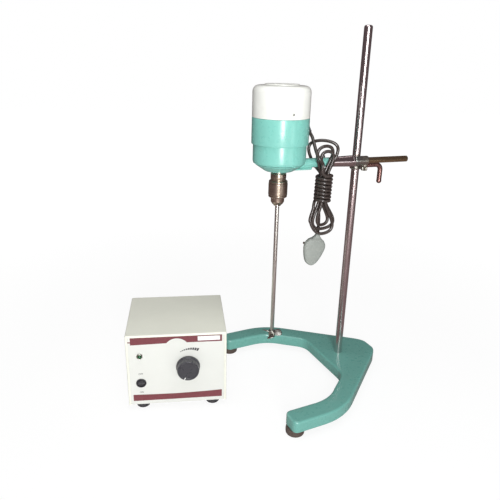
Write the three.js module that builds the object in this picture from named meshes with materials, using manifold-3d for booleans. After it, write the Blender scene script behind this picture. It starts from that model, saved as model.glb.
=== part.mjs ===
// Laboratory stirrer: a motor head on a clamp stand, with its separate speed regulator.
// Millimetres, +Z up. The stand's rod stands at the origin while the pieces are made, with X to the
// right, Y to the back and the regulator's panel facing -Y. At the end the whole is moved, so that
// the origin is at the middle of its footprint, on the bench.
import * as THREE from "three";
import { mergeVertices } from "three/addons/utils/BufferGeometryUtils.js";
import Module from "manifold-3d";

const wasm = await Module();
wasm.setup();

// Sizes shared by all pieces
const clearance = 0.3; // between neighbouring pieces
const overrun = 2; // how far a cut passes the face that it starts from
const weld = 1e-3; // vertices nearer than this are one
const roundSides = 28;
const smallSides = 14;
const footSides = 12;
const tinySides = 8;
const bevelSteps = 2;
const cornerSteps = 3;

// Where the big pieces stand
const baseTurn = THREE.MathUtils.degToRad(198); // the way the base opens, from +X
const headDistance = 175; // from the upright rod to the motor's axis
const armHeight = 482; // the arm rod's axis above the bench
const armOffset = 20; // the arm rod's axis beside the upright rod's

// Base casting, in its own frame: x runs from the rod's axis to the open side
const base = {
  thickness: 24,
  edge: 3,
  heel: 88,
  heelFlat: 12,
  heelBend: 22,
  flankStart: [-70, 38],
  flankEnd: [62, 146],
  legBend: 101,
  legOuter: 178,
  legInner: 138,
  legStraight: 150,
  legTip: 216,
  tipCorner: 12,
  innerBend: 112,
  innerFlankEnd: [85, 112],
  innerFlankStart: [55, 88],
  throat: 41,
  throatBend: 76,
  throatFlat: 58,
};
const standFoot = { radius: 18.5, height: 14, edge: 4, stud: 4, studLength: 8, inset: 13, heelInset: 38 };

// Upright rod
const rod = { radius: 8, top: 727, bottom: 4, crown: 3, nutAcross: 24, nutHeight: 8, nutSides: 6 };

// Clamp, arm rod and the two screws, in the arm's frame: x runs to the motor along the arm rod's axis
// at y = armOffset, and z = 0 is the arm rod's axis
const armRod = { radius: 6, outerEnd: 104, crown: 1.5 };
const boss = {
  left: 16,
  right: 14,
  top: 4.5,
  bottom: 20,
  armHub: 9,
  rodHub: 11.5,
  screwHub: 8,
  lockBottom: 12.5,
};
const sleeve = { bossRadius: 11, headRadius: 9.5, length: 47.5, groove: 0.8, grooveWidth: 3 };
const rodScrew = {
  radius: 5,
  collar: 7,
  collarLength: 7,
  drop: 13.5,
  reach: 58,
  bend: 11,
  handle: 34,
  steps: 12,
};
const armScrew = { radius: 3, head: 6.5, headHeight: 7, inset: 6 };

// Motor head, in its own frame: the motor's axis is z, and z = 0 is the arm rod's axis
const bowl = { bottom: -12, top: 3, floorRadius: 26, rimRadius: 48.5, wall: 4, hubRadius: 15 };
const barrel = {
  radius: 9,
  wall: 3,
  boreDepth: 46,
  plateHalf: 11,
  plateReach: 65,
  plateThickness: 4,
  web: 3,
};
const setScrew = { radius: 2.5, head: 4, headHeight: 4, inset: 20 };
const lower = { radius: 49.3, top: 37.7, wall: 2.6, lipInner: 43, lipHeight: 4, spigot: 3 };
const upper = { radius: 52.4, top: 84.7, wall: 4.7, lipInner: 43.5, lipHeight: 3.6 };
const cap = { radius: 52.3, top: 140, wall: 2.4, shoulder: 10, window: 24 };
const lid = { radius: 31, height: 1.9, edge: 0.8, spigot: 2.4 };
const capScrew = {
  radius: 1.5,
  head: 2.4,
  crown: 1.7,
  headHeight: 1.2,
  rise: 9,
  turn: THREE.MathUtils.degToRad(92),
};
const gland = {
  turn: THREE.MathUtils.degToRad(200),
  height: 73,
  reach: 60,
  knuckle: 7,
  tail: 22,
  mouth: 4.4,
};

// Rotor and what it turns in, same frame
const spindle = { radius: 5, top: 130, bottom: -35, shoulder: 7.6, neckBottom: -16.2 };
const lowerBearing = { radius: 11, height: 8.6 };
const upperBearing = { radius: 13, bottom: 118, height: 9 };
const stator = { bore: 31, bottom: 41, slotHalf: 5, slots: 8, slotDepth: 11 };
const winding = { inner: 33, outer: 42.7, overhang: 7.5 };
const armature = { radius: 30.4, bottom: 42, top: 84, slots: 10, slotWidth: 3, slotDepth: 4 };
const commutator = { radius: 12, bottom: 93, top: 110, flange: 3, flangeRadius: 14 };
const fan = { radius: 40, hub: 10, bottom: 18, plate: 2, height: 12, blades: 8, bladeThickness: 1.6 };
const endFrame = {
  ring: 49.6,
  ringInner: 44.4,
  ringHeight: 4,
  posts: 4,
  post: 6,
  postWidth: 14,
  hub: 17,
  hubDrop: 5,
};
const brush = { width: 9, height: 9, bottom: 97.5 };

// Chuck and stirrer, same frame
const stirrer = { radius: 4, top: -44, bottom: -364 };
const jaw = {
  count: 3,
  width: 4.4,
  depth: 2.3,
  bottom: -79,
  top: -59,
  play: 0.45,
  slope: Math.tan(THREE.MathUtils.degToRad(12)),
};
const jawGrip = stirrer.radius + clearance;
const jawTip = jawGrip + jaw.depth;
const chuck = {
  collar: 14.7,
  collarTop: -16.6,
  collarBottom: -30.2,
  coreWall: 6.6,
  sleeve: 18.1,
  sleeveTop: -30.5,
  sleeveBottom: -62,
  noseWall: 6.2,
  noseBend: -72.5,
  noseTip: -76,
  lip: 2.7,
  shaftPlay: 0.6,
  coneTop: -54,
  flutes: 14,
  fluteRadius: 0.9,
  fluteOut: 0.3,
  fluteMargin: 4.3,
};
const chuckCore = jawTip + chuck.coreWall;
const chuckNose = jawTip + chuck.noseWall;
const impeller = {
  hub: 7,
  hubHeight: 14,
  blades: 3,
  reach: 22,
  bladeHalf: 8.5,
  thickness: 1.6,
  pitch: THREE.MathUtils.degToRad(32),
  firstTurn: THREE.MathUtils.degToRad(60),
};

// Mains lead: a hank of three loops hung over the arm and bound by its own turns. Its frame is
// across (to the right, along the arm), forward (from the arm rod's axis) and up.
const cord = { radius: 3.1, sides: 6, leadSides: 8, leadSteps: 8, leastGap: 0.4, gapSteps: 4, gapSkip: 4 };
const hank = {
  centre: 89, // from the motor's axis to the hank's middle at the top of the binding turns
  lean: 1.2, // how much nearer the motor its foot hangs
  forward: 13, // its middle in front of the arm rod's axis
  runTop: -22,
  runBottom: -72,
  runSteps: 4,
  slot: 7.05, // between the middles of neighbouring runs
  slotTurns: { right: 0, frontRight: 60, frontLeft: 120, left: 180, backLeft: 240 }, // degrees
  loopSteps: 24,
};
const binding = { top: -21.7, radius: 14, pitch: 6.85, turns: 7, exit: 215, bend: 12, bendSteps: 5 };
const loopTops = {
  first: { half: 10.2, tip: 24, fuller: 1.8 },
  second: { half: 13.6, tip: 32.5, fuller: 0 },
  third: { half: 20.5, tip: 41, behind: 14.8, end: -26 },
};
const loopFeet = {
  first: { inner: 25, outer: 20, tip: -137, fuller: 2, drop: 14 },
  second: { inner: 8.5, outer: 13.5, tip: -120.5, fuller: 0 },
  third: { inner: 12.5, outer: 22.5, tip: -129.5, fuller: 0.2 },
};
const crossing = { start: 55, end: 125, underStart: 160.5, underEnd: 176.5 }; // degrees round the third top
const tail = { end: -141.7, back: 1.5, steps: 8, middleShare: 0.6, backShare: 0.4 };
const dropPower = 1.5;
const dropWidestShare = 0.431; // the widest place of cos(t) * sin(t) ** dropPower
const plug = {
  length: 66,
  halfWidth: 24,
  depth: 16,
  neck: 5,
  shoulder: 22,
  base: 12,
  lean: THREE.MathUtils.degToRad(12),
  pinRadius: 2.4,
  pinGap: 19,
  pinReach: 19,
  pinDrop: 30,
  pinPlate: 2.5,
  pinPlateRadius: 15,
};
// The lead from the gland down to the hank, in the head's frame
const leadRoute = [
  [-65.6, -1.5, 47.5],
  [-65.6, 9.5, 35],
  [-65.8, 20.5, 22],
  [-69.4, 28.4, 10.5],
];

// Regulator, in its own frame: the middle of its footprint, z from the bench
const box = { width: 194, depth: 167, height: 156, sheet: 1.5, lip: 6.5, panel: 2, centre: [-364, -33.5] };
const boxFoot = { radius: 14, height: 12, inset: 27, frontInset: 18.5, edge: 3, stud: 3, studLength: 5 };
const knob = {
  across: 118.4,
  up: 83,
  skirt: 23.4,
  face: 19.5,
  depth: 18,
  skirtDepth: 3,
  edge: 1.5,
  stand: 1,
};
const control = { radius: 12, depth: 14, bush: 5, bushLength: 6, shaft: 3, shaftBack: 8 };
const powerSwitch = {
  across: 26.2,
  up: 49.5,
  radius: 10,
  proud: 2.4,
  body: 8.9,
  depth: 20,
  pocket: 8,
  pocketDepth: 11,
};
const rocker = { radius: 7.1, thickness: 5, rise: 2.2, tilt: THREE.MathUtils.degToRad(8) };
const pilot = {
  across: 25.8,
  up: 110.1,
  radius: 6,
  proud: 3,
  body: 4.6,
  depth: 14,
  lens: 3.6,
  lensTop: 2.4,
  lensBevel: 1.4,
};
const board = {
  width: 130,
  depth: 96,
  thickness: 1.6,
  standOff: 8,
  standRadius: 3,
  insetX: 6,
  insetY: 6,
  forward: 6,
};
const choke = { width: 38, depth: 32, height: 30, inset: 10 };
const capacitor = { radius: 9, height: 26, inset: 14 };
const heatSink = { across: 85, width: 60, height: 42, plate: 3, fin: 16, fins: 6, finThickness: 2 };
const socket = {
  across: 50,
  up: 60,
  radius: 15,
  body: 11.5,
  proud: 3,
  depth: 18,
  pins: 3,
  pinHole: 2.5,
  pinCircle: 5.5,
  pinDepth: 12,
};
const inlet = {
  across: 140,
  up: 52,
  width: 27,
  height: 20,
  flange: 5,
  proud: 3,
  depth: 20,
  mouthWall: 2,
  mouthDepth: 15,
};

// Finishes: colour, roughness, metalness
const finish = {
  seaGreen: { color: 0x87cdbc, roughness: 0.35, metalness: 0 },
  white: { color: 0xf1f2ec, roughness: 0.35, metalness: 0 },
  cream: { color: 0xdadccd, roughness: 0.5, metalness: 0 },
  panelWhite: { color: 0xeceee8, roughness: 0.5, metalness: 0 },
  chrome: { color: 0xc9c9cc, roughness: 0.12, metalness: 1 },
  nickel: { color: 0x9d9a90, roughness: 0.3, metalness: 1 },
  brass: { color: 0xa8924e, roughness: 0.3, metalness: 1 },
  steel: { color: 0x8b8378, roughness: 0.35, metalness: 1 },
  darkSteel: { color: 0x4a4440, roughness: 0.4, metalness: 1 },
  laminated: { color: 0x6d6f72, roughness: 0.5, metalness: 1 },
  copper: { color: 0xa85a32, roughness: 0.4, metalness: 1 },
  rubber: { color: 0x4a3f37, roughness: 0.8, metalness: 0 },
  cordRubber: { color: 0x3a302b, roughness: 0.5, metalness: 0 },
  plugGrey: { color: 0x9ba39d, roughness: 0.6, metalness: 0 },
  black: { color: 0x2b2b2e, roughness: 0.4, metalness: 0 },
  lens: { color: 0x2fb35a, roughness: 0.15, metalness: 0 },
  circuit: { color: 0x5b6b3a, roughness: 0.6, metalness: 0 },
};

// Solids and meshes
function solid(geometry) {
  const bare = geometry.clone();
  bare.deleteAttribute("normal");
  bare.deleteAttribute("uv");
  const merged = mergeVertices(bare, weld);
  const mesh = new wasm.Mesh({
    numProp: 3,
    vertProperties: merged.attributes.position.array,
    triVerts: new Uint32Array(merged.index.array),
  });
  return new wasm.Manifold(mesh);
}

function geometryOf(body) {
  const mesh = body.getMesh();
  const geometry = new THREE.BufferGeometry();
  geometry.setAttribute("position", new THREE.BufferAttribute(mesh.vertProperties, 3));
  geometry.setIndex(new THREE.BufferAttribute(mesh.triVerts, 1));
  geometry.computeVertexNormals();
  return geometry;
}

function join(first, ...others) {
  return geometryOf(others.reduce((sum, other) => sum.add(solid(other)), solid(first)));
}

function cut(first, ...tools) {
  return geometryOf(tools.reduce((rest, tool) => rest.subtract(solid(tool)), solid(first)));
}

function common(first, second) {
  return geometryOf(solid(first).intersect(solid(second)));
}

function piece(name, geometry, look) {
  const mesh = new THREE.Mesh(geometry, new THREE.MeshStandardMaterial(look));
  mesh.name = name;
  return mesh;
}

// A box from its two corners along each axis
function block([x0, x1], [y0, y1], [z0, z1]) {
  const geometry = new THREE.BoxGeometry(x1 - x0, y1 - y0, z1 - z0);
  return geometry.translate((x0 + x1) / 2, (y0 + y1) / 2, (z0 + z1) / 2);
}

// A cylinder on the Z axis, or on a line beside it
function column(radius, z0, z1, sides = roundSides, x = 0, y = 0) {
  const geometry = new THREE.CylinderGeometry(radius, radius, z1 - z0, sides);
  return geometry.rotateX(Math.PI / 2).translate(x, y, (z0 + z1) / 2);
}

function columnX(radius, x0, x1, y, z, sides = smallSides) {
  return column(radius, x0, x1, sides).rotateY(Math.PI / 2).translate(0, y, z);
}

function columnY(radius, y0, y1, x, z, sides = smallSides) {
  return column(radius, -y1, -y0, sides).rotateX(Math.PI / 2).translate(x, 0, z);
}

// A solid of revolution about Z from a closed section of [radius, z] points
function turned(section, sides = roundSides) {
  const area = section.reduce((sum, [r, z], i) => {
    const [nextR, nextZ] = section[(i + 1) % section.length];
    return sum + r * nextZ - nextR * z;
  }, 0);
  const ordered = area > 0 ? section : section.slice().reverse();
  const closed = [...ordered, ordered[0]].map(([r, z]) => new THREE.Vector2(r, z));
  return new THREE.LatheGeometry(closed, sides).rotateX(Math.PI / 2);
}

function tube(inner, outer, z0, z1) {
  return [
    [inner, z0],
    [outer, z0],
    [outer, z1],
    [inner, z1],
  ];
}

// Points of a quarter round between two directions, for sections
function quarter(centreR, centreZ, radius, from, to) {
  return Array.from({ length: cornerSteps + 1 }, (_, i) => {
    const angle = from + ((to - from) * i) / cornerSteps;
    return [centreR + radius * Math.cos(angle), centreZ + radius * Math.sin(angle)];
  });
}

// A flat piece on the XY plane, its edges eased by edge
function slab(shape, z0, z1, edge = 0, curveSegments = cornerSteps) {
  const geometry = new THREE.ExtrudeGeometry(shape, {
    depth: z1 - z0 - 2 * edge,
    bevelEnabled: edge > 0,
    bevelThickness: edge,
    bevelSize: edge,
    bevelOffset: -edge,
    bevelSegments: bevelSteps,
    curveSegments,
  });
  return geometry.translate(0, 0, z0 + edge);
}

function roundedRectangle([x0, x1], [y0, y1], corner) {
  const shape = new THREE.Shape();
  shape.moveTo(x0 + corner, y0);
  shape.lineTo(x1 - corner, y0);
  shape.absarc(x1 - corner, y0 + corner, corner, -Math.PI / 2, 0);
  shape.lineTo(x1, y1 - corner);
  shape.absarc(x1 - corner, y1 - corner, corner, 0, Math.PI / 2);
  shape.lineTo(x0 + corner, y1);
  shape.absarc(x0 + corner, y1 - corner, corner, Math.PI / 2, Math.PI);
  shape.lineTo(x0, y0 + corner);
  shape.absarc(x0 + corner, y0 + corner, corner, Math.PI, 1.5 * Math.PI);
  return shape;
}

function turnedBy(geometry, angle) {
  return geometry.rotateZ(angle);
}

function around(count, make) {
  return Array.from({ length: count }, (_, i) => turnedBy(make(i), (i * 2 * Math.PI) / count));
}

// Stand
const footTop = standFoot.height;
const plateBottom = footTop + clearance;
const plateTop = plateBottom + base.thickness;
const legMiddle = (base.legOuter + base.legInner) / 2;
const footPlaces = {
  stand_foot_front: [base.legTip - standFoot.inset, legMiddle],
  stand_foot_back: [base.legTip - standFoot.inset, -legMiddle],
  stand_foot_heel: [standFoot.heelInset - base.heel, 0],
};

function baseOutline() {
  const half = new THREE.Path();
  half.moveTo(-base.heel, 0);
  half.lineTo(-base.heel, base.heelFlat);
  half.quadraticCurveTo(-base.heel, base.heelBend, ...base.flankStart);
  half.lineTo(...base.flankEnd);
  half.quadraticCurveTo(base.legBend, base.legOuter, base.legStraight, base.legOuter);
  half.lineTo(base.legTip - base.tipCorner, base.legOuter);
  half.quadraticCurveTo(base.legTip, base.legOuter, base.legTip, base.legOuter - base.tipCorner);
  half.lineTo(base.legTip, base.legInner + base.tipCorner);
  half.quadraticCurveTo(base.legTip, base.legInner, base.legTip - base.tipCorner, base.legInner);
  half.lineTo(base.legStraight, base.legInner);
  half.quadraticCurveTo(base.innerBend, base.legInner, ...base.innerFlankEnd);
  half.lineTo(...base.innerFlankStart);
  half.quadraticCurveTo(base.throat, base.throatBend, base.throat, base.throatFlat);
  half.lineTo(base.throat, 0);
  const points = half.getPoints(cornerSteps);
  const otherHalf = points.slice(1, -1).reverse();
  return new THREE.Shape([...points, ...otherHalf.map(({ x, y }) => new THREE.Vector2(x, -y))]);
}

function standBase() {
  const casting = slab(baseOutline(), plateBottom, plateTop, base.edge);
  const rodHole = column(rod.radius + clearance, plateBottom - overrun, plateTop + overrun, smallSides);
  const studHoles = Object.values(footPlaces).map(([x, y]) =>
    column(
      standFoot.stud + clearance,
      plateBottom - overrun,
      footTop + standFoot.studLength + clearance,
      smallSides,
      x,
      y,
    ),
  );
  return cut(casting, rodHole, ...studHoles);
}

function rubberFoot(foot) {
  const section = [
    [0, 0],
    [foot.radius - foot.edge, 0],
    ...quarter(foot.radius - foot.edge, foot.edge, foot.edge, -Math.PI / 2, 0),
    [foot.radius, foot.height],
    [foot.stud, foot.height],
    [foot.stud, foot.height + foot.studLength],
    [0, foot.height + foot.studLength],
  ];
  return turned(section, footSides);
}

function uprightRod() {
  const section = [
    [0, rod.bottom],
    [rod.radius, rod.bottom],
    ...quarter(rod.radius - rod.crown, rod.top - rod.crown, rod.crown, 0, Math.PI / 2),
    [0, rod.top],
  ];
  return turned(section, smallSides);
}

function rodNut() {
  const across = rod.nutAcross / 2 / Math.cos(Math.PI / rod.nutSides);
  const top = plateBottom - clearance;
  const bore = column(rod.radius + clearance, top - rod.nutHeight - overrun, top + overrun, smallSides);
  return cut(column(across, top - rod.nutHeight, top, rod.nutSides), bore);
}

// Clamp and arm
const motorX = Math.sqrt(headDistance ** 2 - armOffset ** 2);
const armTurn = baseTurn - Math.asin(armOffset / headDistance);
const sleeveStart = boss.left + clearance;
const sleeveEnd = sleeveStart + sleeve.length;
const barrelStart = sleeveEnd + clearance;
const armBore = armRod.radius + clearance;

function bossHead() {
  const { left, right, top, bottom, armHub, rodHub, screwHub } = boss;
  const lockX = armScrew.inset - right;
  const lockHub = armScrew.head;
  const hubs = [
    column(rodHub, -bottom, top, roundSides),
    columnX(armHub, -right, left, armOffset, 0, roundSides),
    columnX(screwHub, -right, 0, 0, -rodScrew.drop, smallSides),
    column(lockHub, -boss.lockBottom, 0, smallSides, lockX, armOffset),
  ];
  const web = block([-right, rodHub], [0, armOffset], [-boss.lockBottom, top]);
  const upright = column(rod.radius + clearance, -bottom - overrun, top + overrun, smallSides);
  const armHole = columnX(armBore, -right - overrun, left + overrun, armOffset, 0);
  const screwBore = rodScrew.radius + clearance;
  const screwHole = columnX(screwBore, -right - overrun, -rod.radius / 2, 0, -rodScrew.drop, smallSides);
  const lockBore = armScrew.radius + clearance;
  const lockBottom = -boss.lockBottom - overrun;
  const lockHole = column(lockBore, lockBottom, -armRod.radius / 2, tinySides, lockX, armOffset);
  return cut(join(web, ...hubs), upright, armHole, screwHole, lockHole);
}

function armSleeve() {
  const grooveAt = sleeveStart + sleeve.grooveWidth;
  const section = [
    [armBore, sleeveStart],
    [sleeve.bossRadius, sleeveStart],
    [sleeve.bossRadius, grooveAt],
    [sleeve.bossRadius - sleeve.groove, grooveAt],
    [sleeve.bossRadius - sleeve.groove, grooveAt + sleeve.groove],
    [sleeve.bossRadius, grooveAt + 2 * sleeve.groove],
    [sleeve.headRadius, sleeveEnd - sleeve.grooveWidth],
    [sleeve.headRadius, sleeveEnd],
    [armBore, sleeveEnd],
  ];
  return turned(section, smallSides).rotateY(Math.PI / 2).translate(0, armOffset, 0);
}

function armRodSolid() {
  const inner = barrelStart + barrel.boreDepth - clearance;
  const section = [
    [0, -armRod.outerEnd],
    [armRod.radius - armRod.crown, -armRod.outerEnd],
    [armRod.radius, armRod.crown - armRod.outerEnd],
    [armRod.radius, inner],
    [0, inner],
  ];
  return turned(section, smallSides).rotateY(Math.PI / 2).translate(0, armOffset, 0);
}

function rodClampScrew() {
  const tip = -rod.radius - clearance;
  const corner = -rodScrew.reach;
  const path = new THREE.CurvePath();
  const turnStart = new THREE.Vector3(corner + rodScrew.bend, 0, 0);
  const turnEnd = new THREE.Vector3(corner, 0, -rodScrew.bend);
  path.add(new THREE.LineCurve3(new THREE.Vector3(tip, 0, 0), turnStart));
  path.add(new THREE.QuadraticBezierCurve3(turnStart, new THREE.Vector3(corner, 0, 0), turnEnd));
  path.add(new THREE.LineCurve3(turnEnd, new THREE.Vector3(corner, 0, -rodScrew.handle)));
  const section = new THREE.Shape();
  section.absarc(0, 0, rodScrew.radius, 0, 2 * Math.PI);
  const handle = new THREE.ExtrudeGeometry(section, {
    steps: rodScrew.steps,
    bevelEnabled: false,
    extrudePath: path,
    curveSegments: tinySides / 2,
  });
  const ball = new THREE.SphereGeometry(rodScrew.radius + clearance, tinySides, tinySides / 2);
  ball.translate(corner, 0, -rodScrew.handle);
  const collarStart = -boss.right - clearance;
  const collar = columnX(rodScrew.collar, collarStart - rodScrew.collarLength, collarStart, 0, 0, tinySides);
  return join(handle, ball, collar).translate(0, 0, -rodScrew.drop);
}

function armClampScrew() {
  const headTop = -boss.lockBottom - clearance;
  const section = [
    [0, headTop - armScrew.headHeight],
    [armScrew.head - clearance, headTop - armScrew.headHeight],
    [armScrew.head, headTop - armScrew.headHeight + clearance],
    [armScrew.head, headTop],
    [armScrew.radius, headTop],
    [armScrew.radius, -armBore - clearance],
    [0, -armBore - clearance],
  ];
  return turned(section, tinySides).translate(armScrew.inset - boss.right, armOffset, 0);
}

// Motor head
const shellStep = clearance;
const lowerBottom = bowl.top + shellStep;
const upperBottom = lower.top + shellStep;
const capBottom = upper.top + shellStep;
const barrelEnd = motorX - barrelStart;

function motorBracket() {
  const neck = spindle.shoulder + clearance;
  const bearingSeat = lowerBearing.radius + clearance;
  const seatFloor = bowl.top - lowerBearing.height - clearance;
  const section = [
    [neck, bowl.bottom],
    [bowl.floorRadius, bowl.bottom],
    [bowl.rimRadius, bowl.top],
    [bowl.rimRadius - bowl.wall, bowl.top],
    [bowl.floorRadius - bowl.wall, bowl.bottom + bowl.wall],
    [bowl.hubRadius, bowl.bottom + bowl.wall],
    [bowl.hubRadius, bowl.top],
    [bearingSeat, bowl.top],
    [bearingSeat, seatFloor],
    [neck, seatFloor],
  ];
  const body = turned(section);
  const inside = bowl.rimRadius - bowl.wall - overrun;
  const arm = columnX(barrel.radius, -barrelEnd, -inside, 0, 0, roundSides);
  const plate = block(
    [-barrel.plateReach, -bowl.floorRadius],
    [-barrel.plateHalf, barrel.plateHalf],
    [bowl.bottom, bowl.bottom + barrel.plateThickness],
  );
  const web = block(
    [-barrel.plateReach, -bowl.floorRadius],
    [-barrel.web, barrel.web],
    [bowl.bottom, -armRod.radius - barrel.wall / 2],
  );
  const inner = turned([
    [0, bowl.bottom + bowl.wall],
    [bowl.floorRadius - bowl.wall, bowl.bottom + bowl.wall],
    [bowl.rimRadius - bowl.wall, bowl.top],
    [bowl.rimRadius - bowl.wall, upper.top],
    [0, upper.top],
  ]);
  const housingRoom = column(lower.radius + clearance, bowl.top, upper.top);
  const outside = cut(join(arm, plate, web), inner, housingRoom);
  const bore = columnX(armBore, -barrelEnd - overrun, barrel.boreDepth - barrelEnd, 0, 0);
  const screwBore = setScrew.radius + clearance;
  const screwHole = column(screwBore, 0, barrel.radius + overrun, tinySides, setScrew.inset - barrelEnd);
  return cut(join(body, outside), bore, screwHole);
}

function bracketSetScrew() {
  const seat = barrel.radius + clearance;
  const section = [
    [0, armBore + clearance],
    [setScrew.radius, armBore + clearance],
    [setScrew.radius, seat],
    [setScrew.head, seat],
    [setScrew.head, seat + setScrew.headHeight],
    [0, seat + setScrew.headHeight],
  ];
  return turned(section, tinySides).translate(setScrew.inset - barrelEnd, 0, 0);
}

function lowerHousing() {
  const inner = lower.radius - lower.wall;
  const lipBottom = lower.top - lower.lipHeight;
  const spigotOuter = upper.radius - upper.wall - clearance;
  const section = [
    [bowl.rimRadius - bowl.wall / 2, lowerBottom],
    [bowl.rimRadius, lowerBottom],
    [lower.radius, lowerBottom + bowl.wall],
    [lower.radius, lower.top],
    [spigotOuter, lower.top],
    [spigotOuter, lower.top + lower.spigot],
    [lower.lipInner, lower.top + lower.spigot],
    [lower.lipInner, lipBottom],
    [inner, lipBottom],
    [inner, lowerBottom + bowl.wall],
  ];
  return turned(section);
}

function upperHousing() {
  const inner = upper.radius - upper.wall;
  const section = [
    [inner, upperBottom],
    [upper.radius - shellStep, upperBottom],
    [upper.radius, upperBottom + shellStep],
    [upper.radius, upper.top],
    [upper.lipInner, upper.top],
    [upper.lipInner, upper.top - upper.lipHeight],
    [inner, upper.top - upper.lipHeight],
  ];
  const glandHole = columnX(gland.mouth, -upper.radius - overrun, -inner + overrun, 0, 0, tinySides);
  turnedBy(glandHole, gland.turn - Math.PI).translate(0, 0, gland.height);
  return cut(turned(section), glandHole);
}

function motorCap() {
  const inner = cap.radius - cap.wall;
  const innerShoulder = cap.shoulder - cap.wall;
  const section = [
    [inner, capBottom],
    [cap.radius, capBottom],
    ...quarter(cap.radius - cap.shoulder, cap.top - cap.shoulder, cap.shoulder, 0, Math.PI / 2),
    [cap.window, cap.top],
    [cap.window, cap.top - cap.wall],
    ...quarter(cap.radius - cap.shoulder, cap.top - cap.shoulder, innerShoulder, Math.PI / 2, 0),
  ];
  const hole = columnX(capScrew.radius + clearance, inner - overrun, cap.radius + overrun, 0, 0, tinySides);
  turnedBy(hole, capScrew.turn).translate(0, 0, capBottom + capScrew.rise);
  return cut(turned(section), hole);
}

function capLid() {
  const bottom = cap.top + clearance;
  const top = bottom + lid.height;
  const plugRadius = cap.window - clearance;
  const section = [
    [0, bottom - lid.spigot],
    [plugRadius, bottom - lid.spigot],
    [plugRadius, bottom],
    [lid.radius, bottom],
    ...quarter(lid.radius - lid.edge, top - lid.edge, lid.edge, 0, Math.PI / 2),
    [0, top],
  ];
  return turned(section);
}

function capScrewSolid() {
  const seat = cap.radius + clearance;
  const section = [
    [0, cap.radius - cap.wall],
    [capScrew.radius, cap.radius - cap.wall],
    [capScrew.radius, seat],
    [capScrew.head, seat],
    [capScrew.crown, seat + capScrew.headHeight],
    [0, seat + capScrew.headHeight],
  ];
  const screw = turned(section, tinySides).rotateY(Math.PI / 2);
  return turnedBy(screw, capScrew.turn).translate(0, 0, capBottom + capScrew.rise);
}

// Rotor and the pieces round it
function lowerBearingSolid() {
  const top = bowl.top - clearance;
  const bottom = top - lowerBearing.height + clearance;
  return turned(tube(spindle.radius + clearance, lowerBearing.radius, bottom, top), smallSides);
}

function upperBearingSolid() {
  const top = upperBearing.bottom + upperBearing.height;
  return turned(tube(spindle.radius + clearance, upperBearing.radius, upperBearing.bottom, top), smallSides);
}

function spindleSolid() {
  const shoulderTop = bowl.top - lowerBearing.height - 2 * clearance;
  const section = [
    [0, spindle.bottom],
    [spindle.radius, spindle.bottom],
    [spindle.radius, spindle.neckBottom],
    [spindle.shoulder, spindle.neckBottom],
    [spindle.shoulder, shoulderTop],
    [spindle.radius, shoulderTop],
    [spindle.radius, spindle.top],
    [0, spindle.top],
  ];
  return turned(section, smallSides);
}

const statorTop = upper.top - upper.lipHeight - clearance;
const statorRadius = upper.radius - upper.wall - clearance;

function statorCore() {
  const ring = turned(tube(stator.bore, statorRadius, stator.bottom, statorTop));
  const slots = around(stator.slots, () =>
    block(
      [stator.bore - overrun, stator.bore + stator.slotDepth],
      [-stator.slotHalf, stator.slotHalf],
      [stator.bottom - overrun, statorTop + overrun],
    ),
  );
  return cut(ring, ...slots);
}

function fieldWinding() {
  const low = stator.bottom - clearance;
  const high = statorTop + clearance;
  const rings = [
    turned(tube(winding.inner, winding.outer, low - winding.overhang, low)),
    turned(tube(winding.inner, winding.outer, high, high + winding.overhang)),
  ];
  const bars = around(stator.slots, () =>
    block(
      [winding.inner, stator.bore + stator.slotDepth - clearance],
      [clearance - stator.slotHalf, stator.slotHalf - clearance],
      [low - clearance, high + clearance],
    ),
  );
  return join(...rings, ...bars);
}

function armatureSolid() {
  const core = turned(tube(spindle.radius + clearance, armature.radius, armature.bottom, armature.top));
  const slots = around(armature.slots, () =>
    block(
      [armature.radius - armature.slotDepth, armature.radius + overrun],
      [-armature.slotWidth / 2, armature.slotWidth / 2],
      [armature.bottom - overrun, armature.top + overrun],
    ),
  );
  return cut(core, ...slots);
}

function commutatorSolid() {
  const bore = spindle.radius + clearance;
  const section = [
    [bore, commutator.bottom],
    [commutator.flangeRadius, commutator.bottom],
    [commutator.flangeRadius, commutator.bottom + commutator.flange],
    [commutator.radius, commutator.bottom + commutator.flange],
    [commutator.radius, commutator.top],
    [bore, commutator.top],
  ];
  return turned(section, smallSides);
}

function coolingFan() {
  const bore = spindle.radius + clearance;
  const plateTop = fan.bottom + fan.plate;
  const disc = turned(tube(bore, fan.radius, fan.bottom, plateTop));
  const hub = turned(tube(bore, fan.hub, fan.bottom, fan.bottom + fan.height), smallSides);
  const blades = around(fan.blades, () =>
    block(
      [fan.hub - fan.bladeThickness, fan.radius - fan.bladeThickness],
      [-fan.bladeThickness / 2, fan.bladeThickness / 2],
      [fan.bottom + fan.plate / 2, fan.bottom + fan.height],
    ),
  );
  return join(disc, hub, ...blades);
}

function endFrameSolid() {
  const bottom = upper.top + clearance;
  const ringTop = bottom + endFrame.ringHeight;
  const bridgeTop = upperBearing.bottom - clearance;
  const bridgeBottom = bridgeTop - endFrame.hubDrop;
  const hubTop = upperBearing.bottom + upperBearing.height;
  const ring = turned(tube(endFrame.ringInner, endFrame.ring, bottom, ringTop));
  const half = endFrame.postWidth / 2;
  const outer = Math.sqrt(endFrame.ring ** 2 - half ** 2);
  const posts = around(endFrame.posts, () =>
    block([outer - endFrame.post, outer], [-half, half], [bottom, bridgeTop]),
  );
  const arms = around(endFrame.posts, () =>
    block([endFrame.hub - overrun, outer], [-half, half], [bridgeBottom, bridgeTop]),
  );
  const hub = turned(tube(upperBearing.radius + clearance, endFrame.hub, bridgeBottom, hubTop));
  const bore = spindle.radius + 2 * clearance;
  const floor = turned(tube(bore, endFrame.hub, bridgeBottom, bridgeTop), smallSides);
  return join(ring, ...posts, ...arms, hub, floor);
}

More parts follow.
